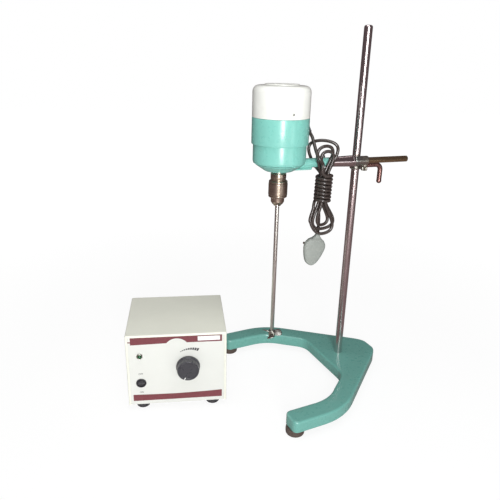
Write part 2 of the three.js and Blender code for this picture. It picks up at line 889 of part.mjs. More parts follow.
function brushHolder(side) {
  const half = endFrame.postWidth / 2;
  const outer = Math.sqrt(endFrame.ring ** 2 - half ** 2) - endFrame.post - clearance;
  const inner = commutator.radius + clearance;
  const body = block(
    [-brush.width / 2, brush.width / 2],
    [inner, outer],
    [brush.bottom, brush.bottom + brush.height],
  );
  return side > 0 ? body : turnedBy(body, Math.PI);
}

// Chuck
function conical(z) {
  return jawTip + jaw.play + jaw.slope * (z - jaw.bottom);
}

function chuckBody() {
  const shaftBore = stirrer.radius + chuck.shaftPlay;
  const spindleBore = spindle.radius + clearance;
  const section = [
    [conical(chuck.noseTip), chuck.noseTip],
    [jawTip + chuck.lip, chuck.noseTip],
    [chuckNose, chuck.noseBend],
    [chuckNose, chuck.sleeveBottom - clearance],
    [chuckCore, chuck.sleeveBottom - clearance],
    [chuckCore, chuck.collarBottom],
    [chuck.collar, chuck.collarBottom],
    [chuck.collar, chuck.collarTop],
    [spindleBore, chuck.collarTop],
    [spindleBore, spindle.bottom - clearance],
    [shaftBore, spindle.bottom - clearance],
    [shaftBore, chuck.coneTop],
    [conical(chuck.coneTop), chuck.coneTop],
  ];
  return turned(section);
}

function chuckSleeve() {
  const bore = chuckCore + clearance;
  const section = [
    [bore, chuck.sleeveBottom],
    [chuck.sleeve - chuck.fluteRadius, chuck.sleeveBottom],
    [chuck.sleeve, chuck.sleeveBottom + chuck.fluteRadius],
    [chuck.sleeve, chuck.sleeveTop - chuck.fluteRadius],
    [chuck.sleeve - chuck.fluteRadius, chuck.sleeveTop],
    [bore, chuck.sleeveTop],
  ];
  const groove = around(chuck.flutes, () =>
    column(
      chuck.fluteRadius,
      chuck.sleeveBottom + chuck.fluteMargin,
      chuck.sleeveTop - chuck.fluteMargin,
      tinySides,
      chuck.sleeve + chuck.fluteOut,
    ),
  );
  return cut(turned(section), ...groove);
}

function chuckJaw(index) {
  const shape = new THREE.Shape();
  shape.moveTo(jawGrip, jaw.bottom);
  shape.lineTo(jawTip, jaw.bottom);
  shape.lineTo(jawTip + jaw.slope * (jaw.top - jaw.bottom), jaw.top);
  shape.lineTo(jawGrip, jaw.top);
  const body = new THREE.ExtrudeGeometry(shape, { depth: jaw.width, bevelEnabled: false });
  body.translate(0, 0, -jaw.width / 2).rotateX(Math.PI / 2);
  return turnedBy(body, (index * 2 * Math.PI) / jaw.count);
}

// Stirrer
function stirringShaft() {
  const section = [
    [0, stirrer.bottom],
    [stirrer.radius, stirrer.bottom],
    [stirrer.radius, stirrer.top],
    [0, stirrer.top],
  ];
  return turned(section, smallSides);
}

function impellerSolid() {
  const bottom = stirrer.bottom;
  const bore = stirrer.radius + clearance;
  const hub = turned(tube(bore, impeller.hub, bottom, bottom + impeller.hubHeight), smallSides);
  const hubReach = (bore + impeller.hub) / 2;
  const shape = new THREE.Shape();
  shape.moveTo(hubReach, -impeller.hubHeight / 3);
  shape.quadraticCurveTo(
    impeller.hub + impeller.bladeHalf,
    -impeller.bladeHalf,
    impeller.reach - impeller.bladeHalf / 2,
    -impeller.bladeHalf,
  );
  shape.quadraticCurveTo(impeller.reach, -impeller.bladeHalf, impeller.reach, 0);
  shape.quadraticCurveTo(
    impeller.reach,
    impeller.bladeHalf,
    impeller.reach - impeller.bladeHalf / 2,
    impeller.bladeHalf,
  );
  shape.quadraticCurveTo(
    impeller.hub + impeller.bladeHalf,
    impeller.bladeHalf,
    hubReach,
    impeller.hubHeight / 3,
  );
  const blades = around(impeller.blades, () => {
    const blade = new THREE.ExtrudeGeometry(shape, {
      depth: impeller.thickness,
      bevelEnabled: false,
      curveSegments: cornerSteps,
    });
    blade.translate(0, 0, -impeller.thickness / 2).rotateX(impeller.pitch);
    return turnedBy(blade.translate(0, 0, bottom + impeller.hubHeight / 2), impeller.firstTurn);
  });
  const bored = column(bore, bottom - overrun, bottom + impeller.hubHeight + overrun, smallSides);
  return cut(join(hub, ...blades), bored);
}

// Mains lead. Its points are made in the hank's frame (across, forward, up).
function spot(across, forward, up) {
  return new THREE.Vector3(across, forward, up);
}

const slot = Object.fromEntries(
  Object.entries(hank.slotTurns).map(([name, degrees]) => {
    const angle = THREE.MathUtils.degToRad(degrees);
    return [name, [hank.slot * Math.cos(angle), hank.forward + hank.slot * Math.sin(angle)]];
  }),
);
slot.middle = [0, hank.forward];

// One end of a loop: out of a run at from, round the tip and back into the run at to. side is 1 where
// it starts on the right. forward(angle, cosine, sine) is its place in front of the arm rod's axis.
function loopEnd(from, to, side, size, ends, forward, first = 0) {
  const middleAcross = (from[0] + to[0]) / 2;
  const spread = (from[0] - to[0]) / 2;
  const points = [];
  for (let i = first; i <= hank.loopSteps; i++) {
    const angle = (i * Math.PI) / hank.loopSteps;
    const cosine = Math.cos(angle);
    const sine = Math.sin(angle);
    const half = (cosine > 0 ? (size.inner ?? size.half) : (size.outer ?? size.half)) / dropWidestShare;
    const runEnd = cosine > 0 ? ends[0] : ends[1];
    const across = middleAcross * cosine ** 2 + spread * cosine + side * half * cosine * sine ** dropPower;
    points.push(spot(across, forward(angle, cosine, sine), runEnd + (size.tip - runEnd) * sine));
  }
  return points;
}

function between(from, to, size) {
  const middle = (from[1] + to[1]) / 2;
  const spread = (from[1] - to[1]) / 2;
  return (angle, cosine, sine) => middle + spread * cosine + size.fuller * sine;
}

function topOfLoop(from, to, size) {
  return loopEnd(from, to, 1, size, [hank.runTop, hank.runTop], between(from, to, size));
}

function footOfLoop(from, to, size) {
  return loopEnd(from, to, -1, size, [hank.runBottom, hank.runBottom], between(from, to, size));
}

function run(place, from, to) {
  return Array.from({ length: hank.runSteps - 1 }, (_, i) =>
    spot(place[0], place[1], from + ((to - from) * (i + 1)) / hank.runSteps),
  );
}

function bindingTurns() {
  const front = hank.forward + binding.radius;
  const bendTop = binding.top + binding.bend;
  const points = [spot(-binding.bend, front, bendTop + 2 * cord.radius)];
  for (let i = 0; i < binding.bendSteps; i++) {
    const angle = (i * Math.PI) / 2 / binding.bendSteps;
    points.push(spot(-binding.bend * Math.cos(angle), front, bendTop - binding.bend * Math.sin(angle)));
  }
  const startAngle = 90;
  const degrees = 360 * (binding.turns + 1) + startAngle - binding.exit;
  const steps = Math.round((degrees / 360) * hank.loopSteps);
  for (let i = 0; i <= steps; i++) {
    const turn = (degrees * i) / steps;
    const angle = THREE.MathUtils.degToRad(startAngle - turn);
    points.push(
      spot(
        binding.radius * Math.cos(angle),
        hank.forward + binding.radius * Math.sin(angle),
        binding.top - (binding.pitch * turn) / 360,
      ),
    );
  }
  const last = points.at(-1);
  const exit = THREE.MathUtils.degToRad(binding.exit);
  for (let i = 1; i <= binding.bendSteps; i++) {
    const angle = (i * Math.PI) / 2 / binding.bendSteps;
    const out = binding.bend * Math.sin(angle);
    const down = binding.bend * (1 - Math.cos(angle));
    points.push(spot(last.x + out * Math.sin(exit), last.y - out * Math.cos(exit), last.z - down));
  }
  return points;
}

// The first foot starts from the binding turns' last bend, on the left
function firstFoot(start) {
  const size = loopFeet.first;
  const centre = start.z - size.drop;
  const front = slot.frontRight[1];
  const points = [];
  const steps = hank.loopSteps / 3;
  for (let i = 1; i <= steps; i++) {
    const angle = (i * Math.PI) / 2 / steps;
    const sine = Math.sin(angle);
    points.push(
      spot(
        -size.inner * Math.cos(angle),
        THREE.MathUtils.lerp(start.y, front + size.fuller, sine),
        centre + (size.tip - centre) * sine,
      ),
    );
  }
  const mirrored = [-slot.frontRight[0], front];
  const ends = [hank.runBottom, hank.runBottom];
  const forward = between(slot.frontRight, slot.frontRight, size);
  return [...points, ...loopEnd(mirrored, slot.frontRight, -1, size, ends, forward, hank.loopSteps / 2 + 1)];
}

// The third top hangs the hank: it goes over the arm and comes back under it
function thirdTop() {
  const size = loopTops.third;
  const forward = (angle) => {
    const degrees = THREE.MathUtils.radToDeg(angle);
    const over = THREE.MathUtils.smoothstep(degrees, crossing.start, crossing.end);
    const under = THREE.MathUtils.smoothstep(degrees, crossing.underStart, crossing.underEnd);
    const behind = THREE.MathUtils.lerp(hank.forward, -size.behind, over);
    return THREE.MathUtils.lerp(behind, slot.backLeft[1], under);
  };
  return loopEnd(slot.right, slot.backLeft, 1, size, [hank.runTop, size.end], forward);
}

function tailPoints() {
  const [across, forward] = slot.backLeft;
  return Array.from({ length: tail.steps + 1 }, (_, i) => {
    const share = i / tail.steps;
    const middle = THREE.MathUtils.smoothstep(share, 0, tail.middleShare);
    const back = THREE.MathUtils.smoothstep(share, 0, tail.backShare);
    const up = hank.runBottom + (tail.end - hank.runBottom) * share;
    return spot(across * (1 - middle), forward - tail.back * back, up);
  });
}

function hankPoints() {
  const { runTop, runBottom } = hank;
  const turns = bindingTurns();
  return [
    ...turns,
    ...firstFoot(turns.at(-1)),
    ...run(slot.frontRight, runBottom, runTop),
    ...topOfLoop(slot.frontRight, slot.frontLeft, loopTops.first),
    ...run(slot.frontLeft, runTop, runBottom),
    ...footOfLoop(slot.frontLeft, slot.middle, loopFeet.second),
    ...run(slot.middle, runBottom, runTop),
    ...topOfLoop(slot.middle, slot.left, loopTops.second),
    ...run(slot.left, runTop, runBottom),
    ...footOfLoop(slot.left, slot.right, loopFeet.third),
    ...run(slot.right, runBottom, runTop),
    ...thirdTop(),
    ...run(slot.backLeft, loopTops.third.end, runBottom),
    ...tailPoints(),
  ];
}

// From the hank's frame to the head's
function hung(point) {
  const leaning = THREE.MathUtils.smoothstep(-point.z, -hank.runTop, -hank.runBottom);
  return new THREE.Vector3(hank.lean * leaning - hank.centre - point.x, point.y, point.z);
}

// A closed tube with one ring of corners at each point
function tubeAlong(points, radius, sides, firstWay, lastWay) {
  const along = points.map((_, i) =>
    points[Math.min(i + 1, points.length - 1)].clone().sub(points[Math.max(i - 1, 0)]).normalize(),
  );
  along[0] = firstWay;
  along[along.length - 1] = lastWay;
  const start = new THREE.Vector3(0, 1, 0);
  let across = start.sub(along[0].clone().multiplyScalar(start.dot(along[0]))).normalize();
  const corners = [];
  points.forEach((point, i) => {
    const bend = new THREE.Quaternion().setFromUnitVectors(along[Math.max(i - 1, 0)], along[i]);
    across = across.clone().applyQuaternion(bend);
    const third = new THREE.Vector3().crossVectors(along[i], across);
    for (let k = 0; k < sides; k++) {
      const angle = (k * 2 * Math.PI) / sides;
      const corner = point.clone();
      corner.addScaledVector(across, radius * Math.cos(angle));
      corner.addScaledVector(third, radius * Math.sin(angle));
      corners.push(...corner.toArray());
    }
  });
  const faces = [];
  for (let i = 0; i < points.length - 1; i++) {
    for (let k = 0; k < sides; k++) {
      const a = i * sides + k;
      const b = i * sides + ((k + 1) % sides);
      faces.push(a, b, b + sides, a, b + sides, a + sides);
    }
  }
  const last = (points.length - 1) * sides;
  for (let k = 1; k < sides - 1; k++) {
    faces.push(0, k + 1, k);
    faces.push(last, last + k, last + k + 1);
  }
  const geometry = new THREE.BufferGeometry();
  geometry.setAttribute("position", new THREE.Float32BufferAttribute(corners, 3));
  geometry.setIndex(faces);
  geometry.computeVertexNormals();
  return geometry;
}

// The least gap between two stretches of the tube that aren't neighbours, measured gapSteps times a
// diameter and gapSkip diameters apart along it
function leastGap(points, diameter) {
  const curve = new THREE.CatmullRomCurve3(points, false, "centripetal");
  curve.arcLengthDivisions = 8 * points.length;
  const length = curve.getLength();
  const count = Math.round((length / diameter) * cord.gapSteps);
  const spaced = curve.getSpacedPoints(count);
  const skip = cord.gapSkip * cord.gapSteps;
  let least = Infinity;
  for (let i = 0; i < spaced.length; i++) {
    for (let j = i + skip; j < spaced.length; j++) {
      least = Math.min(least, spaced[i].distanceTo(spaced[j]) - diameter);
    }
  }
  return { least, length };
}

// The gland's frame: its knuckle's middle, and the way its tail points
const glandMiddle = new THREE.Vector3(
  gland.reach * Math.cos(gland.turn),
  gland.reach * Math.sin(gland.turn),
  gland.height,
);
const down = new THREE.Vector3(0, 0, -1);
const hankRings = hankPoints().map(hung);
const leadEnd = hankRings[0].clone().add(new THREE.Vector3(0, 0, clearance));
const glandWay = new THREE.Vector3(...leadRoute[0]).sub(glandMiddle).normalize();
const glandMouth = glandMiddle.clone().addScaledVector(glandWay, gland.tail);

function cordGland() {
  const section = [
    [0, 0],
    [gland.knuckle, 0],
    [gland.knuckle, gland.knuckle / 2],
    [gland.mouth, gland.tail],
    [0, gland.tail],
  ];
  const tailPart = turned(section, smallSides);
  const up = new THREE.Vector3(0, 0, 1);
  tailPart.applyQuaternion(new THREE.Quaternion().setFromUnitVectors(up, glandWay));
  tailPart.translate(...glandMiddle.toArray());
  const knuckle = new THREE.SphereGeometry(gland.knuckle, smallSides, tinySides);
  knuckle.translate(...glandMiddle.toArray());
  const root = columnX(gland.knuckle, -gland.reach, -upper.radius - clearance, 0, 0);
  turnedBy(root, gland.turn - Math.PI).translate(0, 0, gland.height);
  const stub = columnX(gland.mouth - clearance, -gland.reach, -upper.radius + upper.wall, 0, 0, tinySides);
  turnedBy(stub, gland.turn - Math.PI).translate(0, 0, gland.height);
  return join(tailPart, knuckle, root, stub);
}

function cordLead() {
  const start = glandMouth.clone().addScaledVector(glandWay, clearance);
  const straight = glandMouth.clone().addScaledVector(glandWay, 2 * cord.radius);
  const beforeEnd = leadEnd.clone().add(new THREE.Vector3(0, 0, 2 * cord.radius));
  const route = leadRoute.map((point) => new THREE.Vector3(...point));
  const points = [start, straight, ...route, beforeEnd, leadEnd];
  const curve = new THREE.CatmullRomCurve3(points, false, "centripetal");
  const rings = curve.getSpacedPoints(cord.leadSteps);
  return tubeAlong(rings, cord.radius, cord.leadSides, glandWay, down);
}

function cordHank() {
  return tubeAlong(hankRings, cord.radius, cord.sides, down, down);
}

// Plug, hanging from the tail: its flat pear lies along x
const plugGap = clearance + cord.radius * Math.sin(plug.lean);
const plugTop = hankRings.at(-1).clone().sub(new THREE.Vector3(0, 0, plugGap));

function hungPlug(shape) {
  return shape.rotateY(-plug.lean).translate(...plugTop.toArray());
}

function plugBody() {
  const shape = new THREE.Shape();
  const { length, halfWidth, neck, shoulder, base: foot } = plug;
  shape.moveTo(-neck, 0);
  shape.bezierCurveTo(-neck, -shoulder / 2, -halfWidth, -shoulder / 2, -halfWidth, -shoulder);
  shape.bezierCurveTo(-halfWidth, shoulder - length, -foot, -length, -foot, -length);
  shape.lineTo(foot, -length);
  shape.bezierCurveTo(foot, -length, halfWidth, shoulder - length, halfWidth, -shoulder);
  shape.bezierCurveTo(halfWidth, -shoulder / 2, neck, -shoulder / 2, neck, 0);
  const flat = slab(shape, -plug.depth / 2, plug.depth / 2, plug.depth / 4);
  return hungPlug(flat.rotateX(Math.PI / 2));
}

function plugPins() {
  const face = -plug.depth / 2 - clearance;
  const plateBack = face - plug.pinPlate;
  const plate = columnY(plug.pinPlateRadius, plateBack, face, 0, -plug.pinDrop, smallSides);
  const tip = plateBack - plug.pinReach;
  const pins = [-1, 1].map((side) =>
    columnY(plug.pinRadius, tip, face, (side * plug.pinGap) / 2, -plug.pinDrop, tinySides),
  );
  return hungPlug(join(plate, ...pins));
}

// Regulator
const boxBottom = boxFoot.height + clearance;
const boxTop = boxBottom + box.height;
const halfWidth = box.width / 2;
const halfDepth = box.depth / 2;
const panelFront = box.sheet + clearance - halfDepth;
const panelBack = panelFront + box.panel;
const insideHalf = halfWidth - box.sheet - clearance;
const insideTop = boxTop - box.sheet - clearance;
const floorTop = boxBottom + box.sheet;
const onPanel = ({ across, up }) => [across - halfWidth, boxBottom + up];
const boxFeet = [
  [boxFoot.inset - halfWidth, boxFoot.frontInset - halfDepth],
  [halfWidth - boxFoot.inset, boxFoot.frontInset - halfDepth],
  [boxFoot.inset - halfWidth, halfDepth - boxFoot.inset],
  [halfWidth - boxFoot.inset, halfDepth - boxFoot.inset],
];
const boardMiddle = panelBack + board.forward + board.depth / 2;
const boardCorners = [-1, 1].flatMap((side) =>
  [-1, 1].map((end) => [
    side * (board.width / 2 - board.insetX),
    boardMiddle + end * (board.depth / 2 - board.insetY),
  ]),
);

function regulatorCover() {
  const shell = block([-halfWidth, halfWidth], [-halfDepth, halfDepth], [boxBottom, boxTop]);
  const inside = halfWidth - box.sheet;
  const hollow = block(
    [-inside, inside],
    [box.sheet - halfDepth, halfDepth + overrun],
    [boxBottom - overrun, boxTop - box.sheet],
  );
  const window = block(
    [box.lip - halfWidth, halfWidth - box.lip],
    [-halfDepth - overrun, halfDepth],
    [boxBottom - overrun, boxTop - box.lip],
  );
  return cut(shell, hollow, window);
}

function regulatorChassis() {
  const floor = block([-insideHalf, insideHalf], [panelBack + clearance, halfDepth], [boxBottom, floorTop]);
  const back = block([-insideHalf, insideHalf], [halfDepth - box.sheet, halfDepth], [boxBottom, insideTop]);
  const stands = boardCorners.map(([x, y]) =>
    column(board.standRadius, floorTop - box.sheet / 2, floorTop + board.standOff, tinySides, x, y),
  );
  const studs = boxFeet.map(([x, y]) =>
    column(boxFoot.stud + clearance, boxBottom - overrun, floorTop + overrun, tinySides, x, y),
  );
  const [socketX, socketZ] = onPanel(socket);
  const socketBore = socket.body + clearance;
  const socketHole = columnY(socketBore, halfDepth - overrun, halfDepth + overrun, socketX, socketZ);
  const [inletX, inletZ] = onPanel(inlet);
  const inletHole = block(
    [inletX - inlet.width / 2 - clearance, inletX + inlet.width / 2 + clearance],
    [halfDepth - box.sheet - overrun, halfDepth + overrun],
    [inletZ - inlet.height / 2 - clearance, inletZ + inlet.height / 2 + clearance],
  );
  return cut(join(floor, back, ...stands), ...studs, socketHole, inletHole);
}

function regulatorPanel() {
  const plate = block([-insideHalf, insideHalf], [panelFront, panelBack], [boxBottom, insideTop]);
  const hole = (item, radius) => {
    const [x, z] = onPanel(item);
    return columnY(radius + clearance, panelFront - overrun, panelBack + overrun, x, z);
  };
  return cut(plate, hole(knob, control.bush), hole(powerSwitch, powerSwitch.body), hole(pilot, pilot.body));
}

// Pieces on the panel are turned about a line that points out of it
function outOfPanel(section, item, sides = smallSides) {
  const [x, z] = onPanel(item);
  return turned(section, sides).rotateX(Math.PI / 2).translate(x, panelFront, z);
}

function speedControl() {
  const bore = control.shaft + clearance;
  const back = -box.panel - clearance;
  const section = [
    [bore, back - control.depth],
    [control.radius, back - control.depth],
    [control.radius, back],
    [control.bush, back],
    [control.bush, control.bushLength - box.panel],
    [bore, control.bushLength - box.panel],
  ];
  return outOfPanel(section, knob);
}

function speedShaft() {
  const tip = knob.stand + knob.depth / 2;
  const section = [
    [0, -box.panel - control.shaftBack],
    [control.shaft, -box.panel - control.shaftBack],
    [control.shaft, tip],
    [0, tip],
  ];
  return outOfPanel(section, knob, tinySides);
}

function speedKnob() {
  const bore = control.shaft + clearance;
  const bushRoom = control.bush + clearance;
  const roomTop = control.bushLength - box.panel + clearance;
  const back = knob.stand;
  const front = knob.stand + knob.depth;
  const section = [
    [bushRoom, back],
    [knob.skirt, back],
    [knob.skirt, back + knob.skirtDepth],
    [knob.face + knob.edge, back + 2 * knob.skirtDepth],
    [knob.face, front - knob.edge],
    [knob.face - knob.edge, front],
    [0, front],
    [0, back + knob.depth / 2 + clearance],
    [bore, back + knob.depth / 2 + clearance],
    [bore, roomTop],
    [bushRoom, roomTop],
  ];
  const body = turned(section);
  const [x, z] = onPanel(knob);
  return body.rotateX(Math.PI / 2).translate(x, panelFront, z);
}

function switchBody() {
  const back = -box.panel - powerSwitch.depth;
  const floor = powerSwitch.proud - powerSwitch.pocketDepth;
  const section = [
    [0, back],
    [powerSwitch.body, back],
    [powerSwitch.body, clearance],
    [powerSwitch.radius, clearance],
    [powerSwitch.radius, powerSwitch.proud - clearance],
    [powerSwitch.radius - clearance, powerSwitch.proud],
    [powerSwitch.pocket, powerSwitch.proud],
    [powerSwitch.pocket, floor],
    [0, floor],
  ];
  return outOfPanel(section, powerSwitch);
}

// The rocker's pivot lies across the panel, at the face of the switch's rim
function powerRocker() {
  const { radius, thickness, rise, tilt } = rocker;
  const shape = new THREE.Shape();
  shape.moveTo(-radius, -thickness);
  shape.lineTo(radius, -thickness);
  shape.lineTo(radius, rise / 2);
  shape.quadraticCurveTo(radius / 2, 0, 0, rise);
  shape.quadraticCurveTo(-radius / 2, 0, -radius, rise / 2);
  const profile = new THREE.ExtrudeGeometry(shape, { depth: 2 * radius, bevelEnabled: false });
  profile.translate(0, 0, -radius).rotateX(Math.PI / 2);
  const body = common(profile, column(radius, -thickness - overrun, rise + overrun, smallSides));
  const [x, z] = onPanel(powerSwitch);
  body.rotateZ(Math.PI / 2).rotateX(Math.PI / 2).rotateX(tilt);
  return body.translate(x, panelFront - powerSwitch.proud / 2, z);
}

function pilotBezel() {
  const section = [
    [pilot.lens + clearance, -box.panel - pilot.depth / 2],
    [pilot.body, -box.panel - pilot.depth / 2],
    [pilot.body, clearance],
    [pilot.radius, clearance],
    [pilot.radius - clearance, pilot.proud],
    [pilot.lens + clearance, pilot.proud],
  ];
  return outOfPanel(section, pilot);
}

function pilotLens() {
  const section = [
    [0, -box.panel - pilot.depth],
    [pilot.lens, -box.panel - pilot.depth],
    [pilot.lens, pilot.proud],
    [pilot.lens - pilot.lensBevel, pilot.proud + pilot.lensBevel],
    [0, pilot.proud + pilot.lensTop],
  ];
  return outOfPanel(section, pilot);
}

function controlBoard() {
  const bottom = floorTop + board.standOff + clearance;
  const top = bottom + board.thickness;
  const halfX = board.width / 2;
  const halfY = board.depth / 2;
  const plate = block([-halfX, halfX], [boardMiddle - halfY, boardMiddle + halfY], [bottom, top]);
  const coil = block(
    [choke.inset - halfX, choke.inset + choke.width - halfX],
    [boardMiddle - choke.depth / 2, boardMiddle + choke.depth / 2],
    [top - board.thickness / 2, top + choke.height],
  );
  const can = column(
    capacitor.radius,
    top - board.thickness / 2,
    top + capacitor.height,
    smallSides,
    halfX - capacitor.inset - capacitor.radius,
    boardMiddle,
  );
  return join(plate, coil, can);
}

function heatSinkSolid() {
  const bottom = floorTop + clearance;
  const back = halfDepth - box.sheet - clearance;
  const front = back - heatSink.plate;
  const half = heatSink.width / 2;
  const plate = block([-half, half], [front, back], [bottom, bottom + heatSink.height]);
  const pitch = (heatSink.width - heatSink.finThickness) / (heatSink.fins - 1);
  const fins = Array.from({ length: heatSink.fins }, (_, i) => {
    const x = i * pitch - half;
    const heights = [bottom, bottom + heatSink.height];
    return block([x, x + heatSink.finThickness], [front - heatSink.fin, back], heights);
  });
  return join(plate, ...fins).translate(heatSink.across - halfWidth, 0, 0);
}

function motorSocket() {
  const section = [
    [0, -socket.depth],
    [socket.body, -socket.depth],
    [socket.body, clearance],
    [socket.radius, clearance],
    [socket.radius, socket.proud],
    [0, socket.proud],
  ];
  const floor = socket.proud - socket.pinDepth;
  const pins = around(socket.pins, () =>
    column(socket.pinHole, floor, socket.proud + overrun, tinySides, socket.pinCircle),
  );
  const [x, z] = onPanel(socket);
  return cut(turned(section, smallSides), ...pins).rotateX(-Math.PI / 2).translate(x, halfDepth, z);
}

function mainsInlet() {
  const halfX = inlet.width / 2;
  const halfZ = inlet.height / 2;
  const body = block([-halfX, halfX], [-inlet.depth, inlet.proud], [-halfZ, halfZ]);
  const flange = block(
    [-halfX - inlet.flange, halfX + inlet.flange],
    [clearance, inlet.proud],
    [-halfZ - inlet.flange / 2, halfZ + inlet.flange / 2],
  );
  const mouth = block(
    [inlet.mouthWall - halfX, halfX - inlet.mouthWall],
    [inlet.proud - inlet.mouthDepth, inlet.proud + overrun],
    [inlet.mouthWall - halfZ, halfZ - inlet.mouthWall],
  );
  const [x, z] = onPanel(inlet);
  return cut(join(body, flange), mouth).translate(x, halfDepth, z);
}

// Assembly
const stand = new THREE.Group();
stand.rotation.z = baseTurn;
stand.add(piece("stand_base", standBase(), finish.seaGreen));
for (const [name, [x, y]] of Object.entries(footPlaces)) {
  const foot = piece(name, rubberFoot(standFoot), finish.rubber);
  foot.position.set(x, y, 0);
  stand.add(foot);
}
stand.add(piece("stand_rod", uprightRod(), finish.chrome), piece("stand_rod_nut", rodNut(), finish.nickel));

const arm = new THREE.Group();
arm.position.z = armHeight;
arm.rotation.z = armTurn;
arm.add(
  piece("boss_head", bossHead(), finish.nickel),
  piece("rod_clamp_screw", rodClampScrew(), finish.nickel),
  piece("arm_clamp_screw", armClampScrew(), finish.nickel),
  piece("arm_rod", armRodSolid(), finish.brass),
  piece("arm_sleeve", armSleeve(), finish.chrome),
);

const head = new THREE.Group();
head.position.set(motorX, armOffset, 0);
arm.add(head);
head.add(
  piece("motor_bracket", motorBracket(), finish.seaGreen),
  piece("bracket_set_screw", bracketSetScrew(), finish.nickel),
  piece("lower_housing", lowerHousing(), finish.seaGreen),
  piece("upper_housing", upperHousing(), finish.seaGreen),
  piece("motor_cap", motorCap(), finish.white),
  piece("cap_lid", capLid(), finish.white),
  piece("cap_screw", capScrewSolid(), finish.nickel),
  piece("cord_gland", cordGland(), finish.black),
  piece("lower_bearing", lowerBearingSolid(), finish.steel),
  piece("upper_bearing", upperBearingSolid(), finish.steel),
  piece("spindle", spindleSolid(), finish.steel),
  piece("stator_core", statorCore(), finish.laminated),
  piece("field_winding", fieldWinding(), finish.copper),
  piece("armature", armatureSolid(), finish.laminated),
  piece("commutator", commutatorSolid(), finish.copper),
  piece("cooling_fan", coolingFan(), finish.black),
  piece("end_frame", endFrameSolid(), finish.steel),
  piece("brush_holder_front", brushHolder(1), finish.brass),
  piece("brush_holder_back", brushHolder(-1), finish.brass),
  piece("chuck_body", chuckBody(), finish.darkSteel),
  piece("chuck_sleeve", chuckSleeve(), finish.darkSteel),
  piece("stirring_shaft", stirringShaft(), finish.steel),
  piece("impeller", impellerSolid(), finish.steel),
);
for (let i = 0; i < jaw.count; i++) {
  head.add(piece("chuck_jaw_" + (i + 1), chuckJaw(i), finish.darkSteel));
}
const cordPieces = [
  piece("cord_lead", cordLead(), finish.cordRubber),
  piece("cord_hank", cordHank(), finish.cordRubber),
  piece("plug_body", plugBody(), finish.plugGrey),
  piece("plug_pins", plugPins(), finish.brass),
];

const regulator = new THREE.Group();
regulator.position.set(...box.centre, 0);
regulator.add(
  piece("regulator_cover", regulatorCover(), finish.cream),
  piece("regulator_chassis", regulatorChassis(), finish.cream),
  piece("regulator_panel", regulatorPanel(), finish.panelWhite),
  piece("speed_control", speedControl(), finish.nickel),
  piece("speed_shaft", speedShaft(), finish.steel),
  piece("speed_knob", speedKnob(), finish.black),
  piece("switch_body", switchBody(), finish.black),
  piece("power_rocker", powerRocker(), finish.black),
  piece("pilot_bezel", pilotBezel(), finish.nickel),
  piece("pilot_lens", pilotLens(), finish.lens),
  piece("control_board", controlBoard(), finish.circuit),
  piece("heat_sink", heatSinkSolid(), finish.laminated),
  piece("motor_socket", motorSocket(), finish.black),
  piece("mains_inlet", mainsInlet(), finish.black),
);
boxFeet.forEach(([x, y], i) => {
  const foot = piece("regulator_foot_" + (i + 1), rubberFoot(boxFoot), finish.rubber);
  foot.position.set(x, y, 0);
  regulator.add(foot);
});

const stirrerSet = new THREE.Group();
stirrerSet.add(stand, arm, regulator);
const footprint = new THREE.Box3().setFromObject(stirrerSet, true);
const middle = footprint.getCenter(new THREE.Vector3());
head.add(...cordPieces);
stirrerSet.position.set(-middle.x, -middle.y, -footprint.min.z);

const gap = leastGap(hankRings, 2 * cord.radius);
console.log("hank: gap " + gap.least.toFixed(2) + " mm, length " + gap.length.toFixed(0) + " mm");
if (gap.least < cord.leastGap) throw new Error("the hank's turns lie too near each other");

export default stirrerSet;
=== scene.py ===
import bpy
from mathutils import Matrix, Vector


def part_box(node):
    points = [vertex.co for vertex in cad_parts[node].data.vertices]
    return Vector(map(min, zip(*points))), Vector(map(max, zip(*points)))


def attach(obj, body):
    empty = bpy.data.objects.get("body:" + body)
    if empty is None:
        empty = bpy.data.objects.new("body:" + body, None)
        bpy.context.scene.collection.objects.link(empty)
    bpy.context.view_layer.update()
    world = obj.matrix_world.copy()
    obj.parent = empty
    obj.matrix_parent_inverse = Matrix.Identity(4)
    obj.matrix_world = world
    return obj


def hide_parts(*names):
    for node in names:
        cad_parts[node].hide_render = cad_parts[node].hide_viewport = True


bl_info = {
    "name": "Laboratory stirrer",
    "version": (1, 0, 0),
    "blender": (4, 5, 0),
    "location": "View3D > Sidebar > Stirrer",
    "description": "Makes the visible pieces, finishes and studio of a laboratory stirrer",
    "category": "Object",
}

import math

import bmesh
import bpy
from mathutils import Matrix, Quaternion, Vector

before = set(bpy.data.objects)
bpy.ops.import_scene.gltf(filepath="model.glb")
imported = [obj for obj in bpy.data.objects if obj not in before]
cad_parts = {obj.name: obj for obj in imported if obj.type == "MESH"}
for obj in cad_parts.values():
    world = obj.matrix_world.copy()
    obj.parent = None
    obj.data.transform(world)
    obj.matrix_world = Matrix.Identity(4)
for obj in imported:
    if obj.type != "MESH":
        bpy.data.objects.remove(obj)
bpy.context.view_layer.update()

MM = 0.001
FULL_TURN = 2 * math.pi
HALF_TURN = math.pi
QUARTER_TURN = math.pi / 2

LATHE_SIDES = 96
SMALL_SIDES = 40
BALL_LEVELS = 20
ROUND_STEPS = 5
BEND_STEPS = 14

CLEARANCE = 0.3 * MM
EASED = 0.3 * MM


def lerp(start, end, share):
    return start + (end - start) * share


def smoothstep(value, low, high):
    share = min(1, max(0, (value - low) / (high - low)))
    return share * share * (3 - 2 * share)


# Places taken from the frame, in metres


class Node:
    """The box of a CAD node, with the sizes that pieces are worked out from."""

    def __init__(self, name):
        low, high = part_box(name)
        self.low = Vector(low)
        self.high = Vector(high)
        self.middle = (self.low + self.high) / 2
        self.size = self.high - self.low
        self.radius = max(self.size.x, self.size.y) / 2
        self.bottom = self.low.z
        self.top = self.high.z


def turn(angle, axis):
    return Matrix.Rotation(angle, 4, axis)


